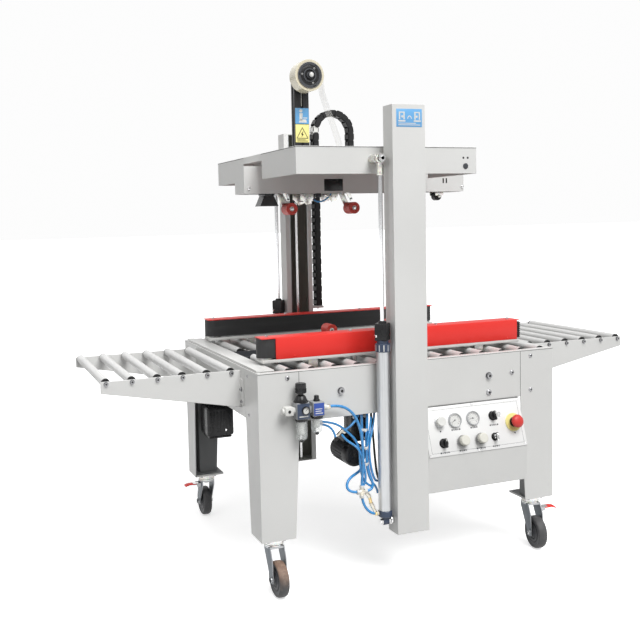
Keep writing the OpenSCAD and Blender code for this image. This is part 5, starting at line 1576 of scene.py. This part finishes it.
class SealerCasters(bpy.types.Operator):
    """Adds the four swivel casters with their wheels and two brake pedals"""
    bl_idname = "sealer.casters"
    bl_label = "Casters"

    PLACES = ((-433, -341, 0), (433, -341, -8), (-433, 341, 180), (433, 341, 180))
    TRAIL, AXLE = 36, 50

    def spot(self, n):
        x, y, turn = self.PLACES[n - 1]
        return Matrix.Translation((x, y, 0)) @ Matrix.Rotation(math.radians(turn), 4, "Z")

    def execute(self, context):
        for n in range(1, 5):
            fork = node_shape(f"caster_fork_{n}")
            turn = math.radians(self.PLACES[n - 1][2])
            across = Vector((math.cos(turn), math.sin(turn), 0))
            # Painted shade: the fork's side faces, those facing along the axle, take a darker finish than the rest of
            # the zinc fork.
            recolour(fork, 1, lambda c, face: abs(face.dot(across)) > 0.7 and c.z < 132)
            soften(add_piece(f"caster_fork_{n}_pressed", fork, f"caster_fork_{n}", ("fork_steel", "fork_side"),
                             [f"caster_fork_{n}"]), 0.8)
            self.race(n)
            self.wheel(n)
        for k, n in ((1, 2), (2, 3)):
            pedal = Shape(self.spot(n))
            self.pedal(pedal)
            add_piece(f"caster_brake_{k}_pedal", pedal, f"caster_brake_{k}", ("cover_red", "bright_steel"),
                      [f"caster_brake_{k}"])
        return {"FINISHED"}

    def race(self, n):
        s = Shape(self.spot(n))
        s.lathe([(18, 141.8), (26.5, 141.8), (27.6, 143), (27.6, 146), (25.5, 148), (18, 148)], ORIGIN, UP, 0, 44,
                True)
        s.lathe([(20, 136.5), (25.4, 136.5), (26.6, 138), (26.6, 140.6), (20, 140.6)], ORIGIN, UP, 0, 44, True)
        for side in (-1, 1):
            x = side * 27
            s.rod((x - side * 5, -self.TRAIL, self.AXLE), (x, -self.TRAIL, self.AXLE), 8, 1, sides=6, round_=0.8)
        add_piece(f"caster_race_{n}", s, f"caster_fork_{n}", ("zinc_plate", "bright_steel"))

    def wheel(self, n):
        s = Shape(self.spot(n))
        centre, axis = (0, -self.TRAIL, self.AXLE), (1, 0, 0)
        tread = [(41, -13), (44, -14.5), (47.5, -12.5), (49.6, -8), (50, -3), (50, 3), (49.6, 8), (47.5, 12.5),
                 (44, 14.5),
                 (41, 13)]
        s.lathe(tread, centre, axis, 0, 72, True)
        rim = [(20, -10.5), (22, -13.5), (38, -12), (41, -13.2), (41, 13.2), (38, 12), (22, 13.5), (20, 10.5)]
        s.lathe(rim, centre, axis, 1, 60, True)
        hub = [(6.1, -16), (15, -16), (17, -14), (20, -10.5), (20, 10.5), (17, 14), (15, 16), (6.1, 16)]
        s.lathe(hub, centre, axis, 1, 48, True)
        for side in (-1, 1):
            s.lathe([(27, side * 12.9), (30, side * 13.7), (33, side * 12.6)], centre, axis, 2, 60)
        s.lathe([(6.1, -15), (10, -15.9), (10, 15.9), (6.1, 15)], centre, axis, 3, 30, True)
        finishes = ("brown_tread" if n == 1 else "grey_tread", "slate", "black_plastic", "bright_steel")
        add_piece(f"caster_tyre_{n}", s, f"caster_wheel_{n}", finishes, [f"caster_wheel_{n}"])

    def pedal(self, s):
        x, z = 30, 118
        s.lathe([(3.1, -12.6), (5, -12.6), (5, 12.6), (3.1, 12.6)], (x, -16, z), BACK, 1, 24, True)
        s.block((x - 3, -27, z + 0.4), (x + 17, -5, z + 5.4), 1, 0.8)
        s.prism([(x - 1, z + 1), (x + 14, z + 1), (x + 30, z + 2), (x + 42, z - 1.5), (x + 45.5, z - 3),
                 (x + 46, z - 0.8),
                 (x + 43, z + 2.4), (x + 30, z + 5), (x + 14, z + 4.6), (x - 1, z + 4.6)], "xz", -28, -4, 0, 0.8)
        for k in range(4):
            a = x + 18 + k * 6
            s.block((a, -25, z + 4.2), (a + 2, -7, z + 5.6), 0, 0.5)


class SealerCartridges(bpy.types.Operator):
    """Adds the upper and lower tape cartridges with their arms and rollers"""
    bl_idname = "sealer.cartridges"
    bl_label = "Cartridges"

    ROLLERS = (("upper", "front", -229, 1076), ("upper", "rear", -12, 1076), ("lower", "front", -100, 683),
               ("lower", "rear", 117, 683))

    def execute(self, context):
        for level, end, x, z in self.ROLLERS:
            name = f"{level}_arm_{end}"
            up = 1 if level == "upper" else -1
            add_piece(f"{name}_plates", self.arm(x, z, up), name, ("zinc_plate", "bright_steel"), [name])
            roller = f"{level}_roller_{end}"
            s = Shape()
            s.lathe([(13, -24), (18.2, -24), (19, -23.2), (19, 23.2), (18.2, 24), (13, 24)], (x, 0, z), BACK, 0, 56,
                    True)
            for way in (-1, 1):
                s.lathe([(7.5, 22.4), (11, 22.4), (13.2, 24), (13.2, 6), (7.5, 6)], (x, 0, z), (0, way, 0), 0, 40, True)
                s.lathe([(4.1, 22.0), (7, 23.2), (7.6, 22.4), (7.6, 6), (4.1, 6)], (x, 0, z), (0, way, 0), 1, 32, True)
            add_piece(f"{roller}_sleeve", s, roller, ("silicone_red", "white_plastic"), [roller])
        lower = node_shape("lower_cartridge")
        recolour(lower, 1, lambda c, n: (c.x - 32) ** 2 + (c.z - 489) ** 2 < 50 ** 2 and abs(c.y) < 26)
        soften(add_piece("lower_cartridge_frame", lower, BODY, ("zinc_plate", "spare_tape"),
                         ["lower_cartridge"]),
               0.5)
        return {"FINISHED"}

    def arm(self, x, z, up):
        """The plate from pivot to roller at the back, the pivot tube and the roller's axle."""
        s = Shape()
        px, pz = x - 36, z + up * 74
        reach = Vector((x - px, z - pz)).normalized()
        across = Vector((-reach.y, reach.x))
        pivot, axle = Vector((px, pz)), Vector((x, z))
        for y0, y1, share in ((25, 28, 1.0), (-28, -25, 0.62)):
            end = pivot + (axle - pivot) * share
            slim = 9 if share == 1 else 5
            outline = [tuple(p) for p in (pivot + across * 9, end + across * slim, end - across * slim,
                                          pivot - across * 9)]
            s.prism(outline, "xz", y0, y1, 0, 0.4)
            s.rod((px, y0, pz), (px, y1, pz), 11, 0, sides=32, round_=0.4)
            s.rod((end.x, y0, end.y), (end.x, y1, end.y), slim, 0, sides=28, round_=0.4)
        s.lathe([(5.3, -28), (9, -28), (9, 28), (5.3, 28)], (px, 0, pz), BACK, 0, 32, True)
        s.rod((x, -26, z), (x, 28.6, z), 4, 1, sides=20, round_=0.4)
        return s


class SealerPanel(bpy.types.Panel):
    """Lists what builds the sealer"""
    bl_idname = "VIEW3D_PT_sealer"
    bl_label = "Carton sealer"
    bl_space_type = "VIEW_3D"
    bl_region_type = "UI"
    bl_category = "Sealer"

    def draw(self, context):
        for group in (context.scene.sealer_sizes, context.scene.sealer_colours):
            for key in group.__annotations__:
                self.layout.prop(group, key)
        for operator in OPERATORS:
            self.layout.operator(operator.bl_idname)


OPERATORS = (SealerStage, SealerHoses, SealerFrame, SealerRollers, SealerColumns, SealerCylinders, SealerHead,
             SealerReel, SealerChain, SealerSideDrives, SealerControls, SealerAirUnit, SealerCasters,
             SealerCartridges)
CLASSES = (SealerSizes, SealerColours, *OPERATORS, SealerPanel)


def register():
    for cls in CLASSES:
        bpy.utils.register_class(cls)
    bpy.types.Scene.sealer_sizes = PointerProperty(type=SealerSizes)
    bpy.types.Scene.sealer_colours = PointerProperty(type=SealerColours)


def unregister():
    del bpy.types.Scene.sealer_colours
    del bpy.types.Scene.sealer_sizes
    for cls in reversed(CLASSES):
        bpy.utils.unregister_class(cls)


def main():
    register()
    for operator in OPERATORS:
        group, name = operator.bl_idname.split(".")
        getattr(getattr(bpy.ops, group), name)()


if __name__ == "__main__":
    main()
